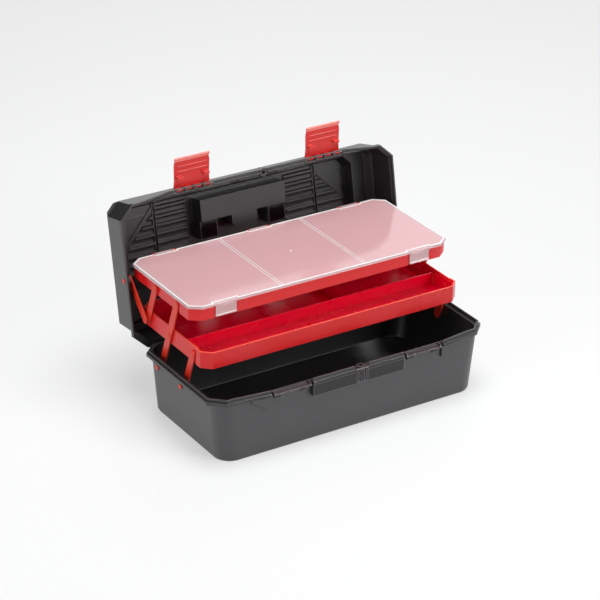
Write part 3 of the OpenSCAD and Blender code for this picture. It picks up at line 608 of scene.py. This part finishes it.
def merged_copy(node: str, name: str, whole: bool = False) -> bpy.types.Object:
    """Copies a CAD node's mesh into a new piece with its triangles joined.

    The new piece rides on the node's body and stands for it.

    Args:
        node: The CAD node.
        name: The new piece's name.
        whole: Also turns the triangles of each flat face to one face.

    Returns:
        The new piece.
    """
    piece = bpy.data.objects.new(name, frame["nodes"][node].data.copy())
    bpy.context.scene.collection.objects.link(piece)
    activate(piece)
    bpy.ops.mesh.customdata_custom_splitnormals_clear()
    bpy.ops.object.mode_set(mode="EDIT")
    bpy.ops.mesh.select_all(action="SELECT")
    bpy.ops.mesh.remove_doubles(threshold=MERGE_M)
    if whole:
        bpy.ops.mesh.dissolve_limited(angle_limit=math.radians(FLAT_DEG))
    bpy.ops.object.mode_set(mode="OBJECT")
    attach(piece, BODY_OF[node])
    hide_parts(node)
    LOG.info("%s stands for %s", name, node)
    return piece


def soften(piece: bpy.types.Object, width_mm: float, segments: int = 2) -> None:
    """Rounds a piece's edges.

    Args:
        piece: The piece.
        width_mm: Width of the rounding.
        segments: Its number of steps.
    """
    activate(piece)
    bpy.ops.object.shade_smooth()
    apply_modifier(
        piece,
        "BEVEL",
        width=width_mm * MM,
        segments=segments,
        limit_method="ANGLE",
        angle_limit=math.radians(SHARP_DEG),
        miter_outer="MITER_ARC",
        harden_normals=True,
    )


def smooth(piece: bpy.types.Object, degrees: float = 32.0) -> None:
    """Shades a piece smooth where its faces meet at less than an angle."""
    activate(piece)
    bpy.ops.object.shade_smooth_by_angle(angle=math.radians(degrees))


def split(piece: bpy.types.Object, point_mm: Sequence[float], normal: Sequence[float]) -> None:
    """Cuts a piece's faces along a plane, so that each side can have its own finish.

    Args:
        piece: The piece.
        point_mm: A point of the plane, in mm.
        normal: The plane's normal.
    """
    activate(piece)
    bpy.ops.object.mode_set(mode="EDIT")
    bpy.ops.mesh.select_all(action="SELECT")
    bpy.ops.mesh.bisect(plane_co=[v * MM for v in point_mm], plane_no=normal)
    bpy.ops.object.mode_set(mode="OBJECT")


def faces_in(piece: bpy.types.Object, heart: Callable[[Vector], Vector]) -> list[bool]:
    """Finds the faces on the inner side of a shell.

    A line from the heart of the hollow through an inner face meets the shell again just
    behind it, and one through an outer face meets nothing more.

    Args:
        piece: The shell.
        heart: Gives the point of the hollow that a face is looked at from.

    Returns:
        One truth value a face.
    """
    inner = []
    for face in piece.data.polygons:
        away = (face.center - heart(face.center)).normalized()
        hit = piece.ray_cast(face.center + away * PAST_FACE_MM * MM, away)[0]
        inner.append(bool(hit) and face.normal.dot(away) < LOOKS_AWAY)
    return inner


# ---------------------------------------------------------------- sub-assemblies


@dataclass
class Tub:
    """The tub: its node's own plastic outside, satin inside, polished fields on the front.

    Attributes:
        heart_x: Half length of the line at the heart of its hollow, in mm.
        heart_y: Half depth of the same, in mm.
        heart_z: Lowest and highest point of the same, in mm.
        field_y: The front fields stand proud of this y, in mm.
        field_z: Lowest and highest point of the front fields, in mm.
        rim_z: The satin rim's lower edge, in mm.
    """

    heart_x: float = 150.0
    heart_y: float = 40.0
    heart_z: tuple[float, float] = (30.0, 70.0)
    field_y: float = -110.2
    field_z: tuple[float, float] = (72.0, 98.0)
    rim_z: float = 93.5

    def heart(self, point: Vector) -> Vector:
        """Gives the point of the hollow that a face is looked at from."""
        return Vector(
            (
                clamp(point.x, -self.heart_x * MM, self.heart_x * MM),
                clamp(point.y, -self.heart_y * MM, self.heart_y * MM),
                clamp(point.z, self.heart_z[0] * MM, self.heart_z[1] * MM),
            )
        )

    def build(self, palette: Palette) -> None:
        """Builds and dresses the tub."""
        tub = merged_copy("base_tub", "tub")
        smooth(tub)
        inner = faces_in(tub, self.heart)
        # Slot 0 keeps the plastic that the node's mesh came with; satin is 1 and polished 2
        add_finishes(tub, palette, (Finish.SATIN, Finish.POLISHED))
        for face, hidden in zip(tub.data.polygons, inner):
            place = face.center / MM
            field = (
                place.y < self.field_y
                and self.field_z[0] < place.z < self.field_z[1]
                and face.normal.y < -FACING
            )
            rim = self.rim_z < place.z and not field
            face.material_index = 2 if field else int(hidden or rim)


@dataclass
class Lid:
    """The lid: its node's own plastic outside and satin inside.

    The plate under the handle's well is polished, and the louvres' ledges get the matt finish as
    a painted highlight along the light lines they catch.

    Attributes:
        hinge: The hinge's y and z, in mm.
        opened: The photographed angle of the open lid, in degrees.
        well_x: Half length of the handle's well, in mm.
        well_z: Height of the well's floor with the lid shut, in mm.
        well_y: Middle of the well with the lid shut, in mm.
        well_half: Half depth of the well with its ears, in mm.
        deep: Half length, half depth and height of the deep part under the crown, in mm.
        rim_z: Height of the satin rim's upper edge with the lid shut, in mm.
        cut_x: The corner cuts lie beyond this x, in mm; the inner satin on them is painted shade
            for the dark reflection they catch.
        cut_aim: Least part of a corner cut's normal along x and along y.
        louvre_z: Height of the louvres' ledges with the lid shut, in mm.
        plate_x: How far the plate reaches past the well's ends, in mm.
        plate_z: How far the plate reaches under and over the well's floor, in mm.
        well_slack: How far outside the well its side walls may lie, in mm.
        ledge_y: Most part of a ledge's normal along y.
        ledge_z: Least and most part of a ledge's normal along z.
        handle_round: Width of the rounding of the handle's edges, in mm.
    """

    hinge: tuple[float, float] = (111.4, 91.1)
    opened: float = 101.5
    heart_x: float = 150.0
    heart_y: float = 40.0
    heart_z: float = 125.0
    well_x: float = 75.0
    well_z: float = 159.5
    well_y: float = -40.0
    well_half: float = 36.0
    deep: tuple[float, float, float] = (195.0, 90.0, 183.0)
    rim_z: float = 106.0
    cut_x: float = 205.0
    cut_aim: float = 0.35
    louvre_z: float = 180.0
    plate_x: float = 1.0
    plate_z: tuple[float, float] = (2.0, 8.0)
    well_slack: float = 0.1
    ledge_y: float = -0.6
    ledge_z: tuple[float, float] = (-0.8, -0.4)
    handle_round: float = 0.8

    def shut(self, point: Vector) -> Vector:
        """Turns a point of the open lid to where it is with the lid shut."""
        return self.turned(point, math.radians(self.opened))

    def turned(self, point: Vector, angle: float) -> Vector:
        """Turns a point round the hinge.

        Args:
            point: The point, in metres.
            angle: The angle, in radians.

        Returns:
            The turned point.
        """
        pin = Vector((0, self.hinge[0] * MM, self.hinge[1] * MM))
        return Matrix.Rotation(angle, 3, "X") @ (point - pin) + pin

    def heart(self, point: Vector) -> Vector:
        """Gives the point of the hollow that a face is looked at from."""
        here = self.shut(point)
        inside = Vector(
            (
                clamp(here.x, -self.heart_x * MM, self.heart_x * MM),
                clamp(here.y, -self.heart_y * MM, self.heart_y * MM),
                self.heart_z * MM,
            )
        )
        return self.turned(inside, -math.radians(self.opened))

    def slot(self, place: Vector, aim: Vector, hidden: bool) -> int:
        """Picks the material slot of one face.

        Args:
            place: The face's centre with the lid shut, in mm.
            aim: The face's normal with the lid shut.
            hidden: Whether the face is on the inner side of the shell.

        Returns:
            0 for the outside, 1 for the inside, 2 for the plate and 3 for a ledge's painted
            highlight.
        """
        under, over = self.plate_z
        if (
            abs(place.x) < self.well_x + self.plate_x
            and self.well_z - under < place.z < self.well_z + over
            and aim.z < -FACING
        ):
            return 2
        half_x, half_y, top = self.deep
        deep = abs(place.x) < half_x and abs(place.y) < half_y and place.z < top
        if deep:
            low, high = self.ledge_z
            # Painted highlight: the louvres' upward ledges get the matt finish for the light lines
            # along them
            if place.z > self.louvre_z and aim.y < self.ledge_y and low < aim.z < high:
                return 3
            well = (
                abs(place.x) < self.well_x + self.well_slack
                and abs(place.y - self.well_y) < self.well_half
            )
            # The well is part of the outside: its walls look to its middle, its floor up
            axis = Vector((-place.x, self.well_y - place.y, 0))
            hidden = not (well and (aim.dot(axis) > 1 or aim.z > FACING))
        rim = place.z < self.rim_z
        # Painted shade: the corner cuts get the inner satin, standing for the dark reflection they
        # catch
        cut = min(abs(aim.x), abs(aim.y)) > self.cut_aim and abs(place.x) > self.cut_x
        return int(hidden or rim or cut)

    def build(self, palette: Palette) -> None:
        """Builds and dresses the lid and the handle in its well."""
        lid = merged_copy("lid_shell", "lid")
        smooth(lid)
        inner = faces_in(lid, self.heart)
        # Slot 0 keeps the plastic that the node's mesh came with, and these follow it
        add_finishes(lid, palette, (Finish.SATIN, Finish.POLISHED, Finish.MATT))
        turn = Matrix.Rotation(math.radians(self.opened), 3, "X")
        for face, hidden in zip(lid.data.polygons, inner):
            place = self.shut(face.center) / MM
            face.material_index = self.slot(place, turn @ face.normal, hidden)
        handle = merged_copy("handle", "carrying_handle", whole=True)
        soften(handle, self.handle_round)
        dress(handle, palette.of(Finish.SATIN))


@dataclass
class Trays:
    """The two red trays and the loose dividers of the lower one."""

    rounding_mm: float = 0.55
    rim_mm: float = 1.2
    # Shares of a face's normal that make it an outer wall or an underside
    outward: float = 0.05
    downward: float = -0.5
    nodes: tuple[str, ...] = ("lower_tray", "upper_tray", "long_divider", "cross_divider")

    def build(self, palette: Palette) -> None:
        """Builds and dresses the trays and dividers."""
        for node in self.nodes:
            piece = merged_copy(node, f"{node}_moulding", whole=True)
            soften(piece, self.rounding_mm)
            # The dividers stand inside the tray and get the same painted crimson of its bounced
            # light
            if node.endswith("divider"):
                dress(piece, palette.of(Finish.CRIMSON))
                continue
            low, high = (Vector(corner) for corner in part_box(node))
            middle = (low + high) / 2

            def outer(centre: Vector, normal: Vector) -> int:
                """Gives 0 for outer faces, 1 for inner faces and 2 for the rim's painted
                highlight.
                """
                out = centre - middle
                away = normal.x * out.x / (high.x - low.x) + normal.y * out.y / (high.y - low.y)
                # Painted highlight: the top rim's faces
                if centre.z > high.z - self.rim_mm * MM:
                    return 2
                # Inner faces get the crimson that paints the red light bouncing inside the tray
                return 0 if away > self.outward or normal.z < self.downward else 1

            paint(piece, palette, (Finish.RED, Finish.CRIMSON, Finish.RIM), outer)


@dataclass
class Cover:
    """The clear cover: a thin milky sheet in a thicker, whiter edge, with white raised lines.

    Attributes:
        bead_h: Height of the raised edge over the sheet, in mm.
        sheet_t: Thickness of the sheet, in mm.
        edge: Width of the thick edge, in mm.
        front_lap: How far the tabs stand out in front of the edge, in mm.
        back_lap: How far the knuckles stand out behind the edge, in mm.
        slack: Room left to either side of the sheet's two faces, in mm.
        tab_drop: How far under the sheet the tabs begin, in mm.
        flat: Least part of a flat face's normal along z.
    """

    bead_h: float = 0.7
    sheet_t: float = 1.7
    edge: float = 6.4
    front_lap: float = 1.4
    back_lap: float = 3.5
    slack: float = 0.1
    tab_drop: float = 0.3
    flat: float = 0.9

    def build(self, palette: Palette) -> None:
        """Builds and dresses the cover."""
        cover = merged_copy("tray_cover", "clear_cover")
        low, high = (Vector(c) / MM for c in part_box("tray_cover"))
        top = high.z - self.bead_h
        left, right = low.x + self.edge, high.x - self.edge
        front, back = low.y + self.edge + self.front_lap, high.y - self.edge - self.back_lap
        for x in (left, right):
            split(cover, (x, 0, 0), (1, 0, 0))
        for y in (front, back):
            split(cover, (0, y, 0), (0, 1, 0))
        smooth(cover)

        def finish(centre: Vector, normal: Vector) -> int:
            """Gives 0 for the sheet's faces, 1 for the edge's and 2 for raised lines."""
            place = centre / MM
            tab = place.z < top - self.sheet_t - self.tab_drop
            if abs(normal.y) < FACING if tab else place.z > top + self.slack:
                return 2
            under, over = top - self.sheet_t - self.slack, top + self.slack
            flat = abs(normal.z) > self.flat and under < place.z < over
            inside = left < place.x < right and front < place.y < back
            return 0 if flat and inside else 1

        paint(cover, palette, (Finish.SHEET, Finish.BEAD, Finish.LINE), finish)
        LOG.info("cover reaches from %s to %s", low, high)


@dataclass
class Latches:
    """The two red latches, with the thin lip along their free edge, painted paler as the glow
    and highlight of light through its thin plastic.
    """

    lip_mm: float = 7.0

    def build(self, palette: Palette) -> None:
        """Builds and dresses the latches."""
        for side in SIDES:
            piece = merged_copy(f"latch_{side}", f"latch_{side}_moulding")
            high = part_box(f"latch_{side}")[1][2]
            split(piece, (0, 0, high / MM - self.lip_mm), (0, 0, 1))
            smooth(piece)
            # Painted glow: the lip along the top is painted paler
            paint(
                piece,
                palette,
                (Finish.LATCH, Finish.LIP),
                lambda centre, normal, high=high: int(centre.z > high - self.lip_mm * MM),
            )


@dataclass
class Arms:
    """The eight red arms that carry the trays."""

    kinds: tuple[str, ...] = ("long_arm", "front_arm", "rear_arm", "lid_link")
    rounding_mm: float = 0.5

    def build(self, palette: Palette) -> None:
        """Builds and dresses the arms."""
        for kind in self.kinds:
            for side in SIDES:
                piece = merged_copy(f"{kind}_{side}", f"{kind}_{side}_moulding", whole=True)
                soften(piece, self.rounding_mm)
                # The arms' more orange red is painted light
                dress(piece, palette.of(Finish.ARM))


@dataclass
class Collars:
    """The raised rings round the arms' moulded pins.

    Attributes:
        face_x: The arms' outer face, in mm from the middle of the box.
        seat: Depth that a ring is sunk into its arm, in mm.
        proud: Height of a ring over the arm, in mm.
        radius: Outer radius of a ring, in mm.
        width: Width of a ring, in mm.
        dish: Depth of the hollow inside a ring, in mm.
        slope: Width of the slope from a ring down into its hollow, in mm.
        rounding: Width of the rounding of a ring's edges, in mm.
        sharp: Edges sharper than this are rounded, in degrees.
        sides: Number of a ring's sides.
        foot: The long arm's foot, y and z, in mm.
        lean: How far the open arms lean back, in degrees.
        lower_l: Length of an arm from its foot to the lower tray's pin, in mm.
        upper_l: Length from the lower tray's pin to the upper tray's pin, in mm.
        front: Distance of the front arm before the long arm, in mm.
        rear: Distance of the rear arm behind the long arm, in mm.
    """

    face_x: float = 224.8
    seat: float = 0.2
    proud: float = 0.5
    radius: float = 5.6
    width: float = 0.8
    dish: float = 0.35
    slope: float = 0.15
    rounding: float = 0.12
    sharp: float = 40.0
    sides: int = 36
    foot: tuple[float, float] = (69.6, 80.5)
    lean: float = 20.0
    lower_l: float = 64.5
    upper_l: float = 63.5
    front: float = 67.5
    rear: float = 61.7

    def pivots(self) -> dict[str, list[tuple[float, float]]]:
        """Gives the y and z of each arm kind's pins, in mm."""
        back, up = math.sin(math.radians(self.lean)), math.cos(math.radians(self.lean))
        low = (self.foot[0] - self.lower_l * back, self.foot[1] + self.lower_l * up)
        high = (low[0] - self.upper_l * back, low[1] + self.upper_l * up)
        return {
            "long_arm": [low, high],
            "front_arm": [(low[0] - self.front, low[1])],
            "rear_arm": [(low[0] + self.rear, low[1]), (high[0] + self.rear, high[1])],
        }

    def ring(self, name: str, side: int, place: tuple[float, float]) -> bpy.types.Object:
        """Models one ring.

        Args:
            name: The piece's name.
            side: -1 for the left side and 1 for the right side.
            place: The pin's y and z, in mm.

        Returns:
            The new piece.
        """
        deselect()
        middle = self.face_x + (self.proud - self.seat) / 2
        bpy.ops.mesh.primitive_cylinder_add(
            vertices=self.sides,
            radius=self.radius * MM,
            depth=(self.proud + self.seat) * MM,
            location=(side * middle * MM, place[0] * MM, place[1] * MM),
            rotation=(0, math.pi / 2, 0),
        )
        piece = bpy.context.object
        piece.name = name
        bpy.ops.object.transform_apply(location=True, rotation=True, scale=True)
        for part in (*piece.data.vertices, *piece.data.edges):
            part.select = False
        for face in piece.data.polygons:
            face.select = face.normal.x * side > FACING
        bpy.ops.object.mode_set(mode="EDIT")
        bpy.ops.mesh.select_mode(type="FACE")
        bpy.ops.mesh.inset(thickness=self.width * MM, depth=0.0)
        bpy.ops.mesh.inset(thickness=self.slope * MM, depth=-self.dish * MM)
        bpy.ops.object.mode_set(mode="OBJECT")
        apply_modifier(
            piece,
            "BEVEL",
            width=self.rounding * MM,
            segments=2,
            limit_method="ANGLE",
            angle_limit=math.radians(self.sharp),
        )
        smooth(piece)
        return piece

    def build(self, palette: Palette) -> None:
        """Builds and dresses the rings."""
        for kind, places in self.pivots().items():
            for label, side in SIDES.items():
                for number, place in enumerate(places):
                    piece = self.ring(f"{kind}_{label}_ring_{number + 1}", side, place)
                    dress(piece, palette.of(Finish.ARM))
                    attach(piece, BODY_OF[f"{kind}_{label}"])
                    LOG.info("built %s", piece.name)


@dataclass
class Pins:
    """The steel pins, which keep their shape and get a finish."""

    def build(self, palette: Palette) -> None:
        """Dresses the pins."""
        for node in NODES_OF[Slot.STEEL]:
            dress(frame["nodes"][node], palette.of(Finish.STEEL))
            LOG.info("dressed %s", node)


# ---------------------------------------------------------------- studio


@dataclass(frozen=True)
class Lamp:
    """One square soft lamp.

    Attributes:
        name: The lamp's name.
        place: Where it hangs, in metres.
        size: Side of its face, in metres.
        watts: Its power.
    """

    name: str
    place: tuple[float, float, float]
    size: float
    watts: float


@dataclass
class Studio:
    """Pale floor, soft lamps and the camera at the photograph's angle.

    Attributes:
        eye: The camera's place, in metres.
        yaw: How far the camera is turned left, in radians.
        pitch: How far it looks up, in radians.
        roll: How far it leans, in radians.
        lens_mm: Its focal length.
        sensor_mm: Width of its sensor.
        shift_y: How far its picture is shifted up, as a share of the width.
        reach: The nearest and farthest distance that it sees, in metres.
        aim: The point that the lamps face, in metres.
        lamps: The lamps that light everything.
        glint: The lamp that shiny surfaces alone see.
        flag: Middle of the black card, in metres.
        flag_size: Side of the black card, in metres.
        floor_size: Side of the floor, in metres.
        floor_drop: How far the floor lies under the box, in metres.
        floor_tones: The two greys that the floor drifts between.
        haze: Drifts a metre.
        floor_white: Colour of the floor's glow.
        floor_glow: Strength of the floor's glow, for the camera and shiny surfaces.
        side_level: Strength of the light tent at its sides.
        top_level: Strength of the light tent at its top.
        tent_tint: Colour of the light tent.
        tent: The heights of a ray between which the tent goes from sides to top.
        mirrored: Share of the white background that shiny surfaces see.
    """

    eye: tuple[float, float, float] = (-1.80912, -2.72002, 1.81417)
    yaw: float = -0.5793
    pitch: float = -0.4659
    roll: float = 0.0215
    lens_mm: float = 148.83
    sensor_mm: float = 36.0
    shift_y: float = -0.01
    reach: tuple[float, float] = (0.05, 50.0)
    aim: tuple[float, float, float] = (0, 0, 0.12)
    lamps: tuple[Lamp, ...] = (
        Lamp("overhead", (0.1, -0.1, 2.4), 1.6, 60.0),
        Lamp("left", (-2.4, -0.3, 0.9), 1.2, 20.0),
        Lamp("front", (1.4, -2.4, 1.5), 1.2, 36.0),
        Lamp("back_right", (1.6, 2.3, 1.7), 2.4, 20.0),
    )
    glint: Lamp = Lamp("glint", (1.35, -1.25, 2.1), 0.6, 48.0)
    flag: tuple[float, float, float] = (-0.75, 2.2, 0.8)
    flag_size: float = 1.5
    floor_size: float = 12.0
    floor_drop: float = 0.0004
    floor_tones: tuple[str, str] = ("#9c9d9e", "#a1a2a3")
    haze: float = 0.8
    floor_white: str = "#f9f9f8"
    floor_glow: float = 0.52
    side_level: float = 0.74
    top_level: float = 0.10
    tent_tint: tuple[float, float, float, float] = (1.0, 0.995, 1.0, 1.0)
    tent: tuple[float, float] = (0.05, 0.5)
    mirrored: float = 0.05

    def floor(self) -> None:
        """Lays the floor."""
        deselect()
        bpy.ops.mesh.primitive_plane_add(size=self.floor_size, location=(0, 0, -self.floor_drop))
        ground = bpy.context.object
        ground.name = "floor"
        made, tree = blank_material("pale_floor")
        place = add_node(tree, "ShaderNodeTexCoord").outputs["Object"]
        haze = add_node(
            tree, "ShaderNodeTexNoise", {"Scale": self.haze, "Detail": 1.0}, {"Vector": place}
        )
        dark, light = (linear(tone) for tone in self.floor_tones)
        tone = add_node(
            tree,
            "ShaderNodeMix",
            {"data_type": "RGBA", MIX_A: dark, MIX_B: light},
            {MIX_FACTOR: haze.outputs["Fac"]},
        )
        skin = add_node(
            tree,
            "ShaderNodeBsdfPrincipled",
            {"Roughness": 0.6, "Specular IOR Level": 0.2},
            {"Base Color": tone.outputs[MIX_RESULT]},
        )
        glow = add_node(
            tree,
            "ShaderNodeEmission",
            {"Color": linear(self.floor_white), "Strength": self.floor_glow},
        )
        path = add_node(tree, "ShaderNodeLightPath")
        lit = add_node(
            tree, "ShaderNodeAddShader", {}, {0: skin.outputs["BSDF"], 1: glow.outputs["Emission"]}
        )
        seen = add_node(
            tree,
            "ShaderNodeMath",
            {"operation": "MAXIMUM"},
            {0: path.outputs["Is Camera Ray"], 1: path.outputs["Is Glossy Ray"]},
        )
        shown = add_node(
            tree,
            "ShaderNodeMixShader",
            {},
            {0: seen.outputs["Value"], 1: skin.outputs["BSDF"], 2: lit.outputs["Shader"]},
        )
        add_node(tree, "ShaderNodeOutputMaterial", {}, {"Surface": shown.outputs["Shader"]})
        dress(ground, made)

    def world(self) -> None:
        """Sets the world: a light tent, bright at its sides and dim on top, seen as white."""
        world = bpy.data.worlds.new("studio")
        bpy.context.scene.world = world
        world.use_nodes = True
        tree = world.node_tree
        tree.nodes.clear()
        ray = add_node(tree, "ShaderNodeTexCoord").outputs["Generated"]
        height = add_node(tree, "ShaderNodeSeparateXYZ", {}, {0: ray}).outputs["Z"]
        level = add_node(
            tree,
            "ShaderNodeMapRange",
            {
                "From Min": self.tent[0],
                "From Max": self.tent[1],
                "To Min": self.side_level,
                "To Max": self.top_level,
            },
            {"Value": height},
        )
        tent = add_node(
            tree,
            "ShaderNodeBackground",
            {"Color": self.tent_tint},
            {"Strength": level.outputs["Result"]},
        )
        white = add_node(tree, "ShaderNodeBackground", {"Color": WHITE, "Strength": 1.0})
        path = add_node(tree, "ShaderNodeLightPath")
        share = add_node(
            tree,
            "ShaderNodeMath",
            {"operation": "MULTIPLY", 1: self.mirrored},
            {0: path.outputs["Is Glossy Ray"]},
        )
        seen = add_node(
            tree,
            "ShaderNodeMath",
            {"operation": "MAXIMUM"},
            {0: path.outputs["Is Camera Ray"], 1: share.outputs["Value"]},
        )
        clear = add_node(
            tree,
            "ShaderNodeMath",
            {"operation": "MAXIMUM"},
            {0: seen.outputs["Value"], 1: path.outputs["Is Transmission Ray"]},
        )
        mixed = add_node(
            tree,
            "ShaderNodeMixShader",
            {},
            {
                0: clear.outputs["Value"],
                1: tent.outputs["Background"],
                2: white.outputs["Background"],
            },
        )
        add_node(tree, "ShaderNodeOutputWorld", {}, {"Surface": mixed.outputs["Shader"]})

    def hang(self, lamp: Lamp) -> bpy.types.Object:
        """Hangs one lamp.

        Args:
            lamp: The lamp's name, place, size and power.

        Returns:
            The lamp's object.
        """
        data = bpy.data.lights.new(lamp.name, "AREA")
        data.size = lamp.size
        data.energy = lamp.watts
        hung = bpy.data.objects.new(lamp.name, data)
        bpy.context.scene.collection.objects.link(hung)
        hung.location = Vector(lamp.place)
        ahead = Vector(self.aim) - Vector(lamp.place)
        hung.rotation_euler = ahead.to_track_quat("-Z", "Y").to_euler()
        return hung

    def black_flag(self) -> None:
        """Stands a black card behind the box that only shiny surfaces see."""
        deselect()
        place = Vector(self.flag)
        bpy.ops.mesh.primitive_plane_add(
            size=self.flag_size,
            location=place,
            rotation=place.to_track_quat("Z", "Y").to_euler(),
        )
        card = bpy.context.object
        card.name = "black_flag"
        made, tree = blank_material("black_card")
        skin = add_node(
            tree,
            "ShaderNodeBsdfPrincipled",
            {"Base Color": linear("#050505"), "Roughness": 0.9, "Specular IOR Level": 0.1},
        )
        add_node(tree, "ShaderNodeOutputMaterial", {}, {"Surface": skin.outputs["BSDF"]})
        dress(card, made)
        card.visible_camera = False
        card.visible_diffuse = False
        card.visible_shadow = False
        card.visible_transmission = False

    def camera(self) -> None:
        """Sets the camera."""
        ahead = Vector(
            (
                -math.sin(self.yaw) * math.cos(self.pitch),
                math.cos(self.yaw) * math.cos(self.pitch),
                math.sin(self.pitch),
            )
        )
        level = Vector((ahead.y, -ahead.x, 0)).normalized()
        upright = level.cross(ahead)
        right = level * math.cos(self.roll) + upright * math.sin(self.roll)
        up = upright * math.cos(self.roll) - level * math.sin(self.roll)
        data = bpy.data.cameras.new("camera")
        data.lens = self.lens_mm
        data.sensor_width = self.sensor_mm
        data.shift_y = self.shift_y
        data.clip_start, data.clip_end = self.reach
        camera = bpy.data.objects.new("camera", data)
        bpy.context.scene.collection.objects.link(camera)
        turn = Matrix((right, up, -ahead)).transposed()
        camera.matrix_world = Matrix.Translation(Vector(self.eye)) @ turn.to_4x4()
        bpy.context.scene.camera = camera

    def build(self) -> None:
        """Sets up the whole studio."""
        self.floor()
        self.world()
        for lamp in self.lamps:
            self.hang(lamp)
        glint = self.hang(self.glint)
        glint.visible_diffuse = False
        glint.visible_transmission = False
        self.black_flag()
        self.camera()
        bpy.context.scene.view_settings.view_transform = "Standard"


def main() -> None:
    """Builds the box's looks and the studio, in order."""
    logging.basicConfig(level=logging.INFO, format="%(name)s: %(message)s")
    palette = Palette()
    for part in (Tub(), Lid(), Trays(), Cover(), Latches(), Arms(), Collars(), Pins()):
        part.build(palette)
    Studio().build()


if __name__ == "__main__":
    main()
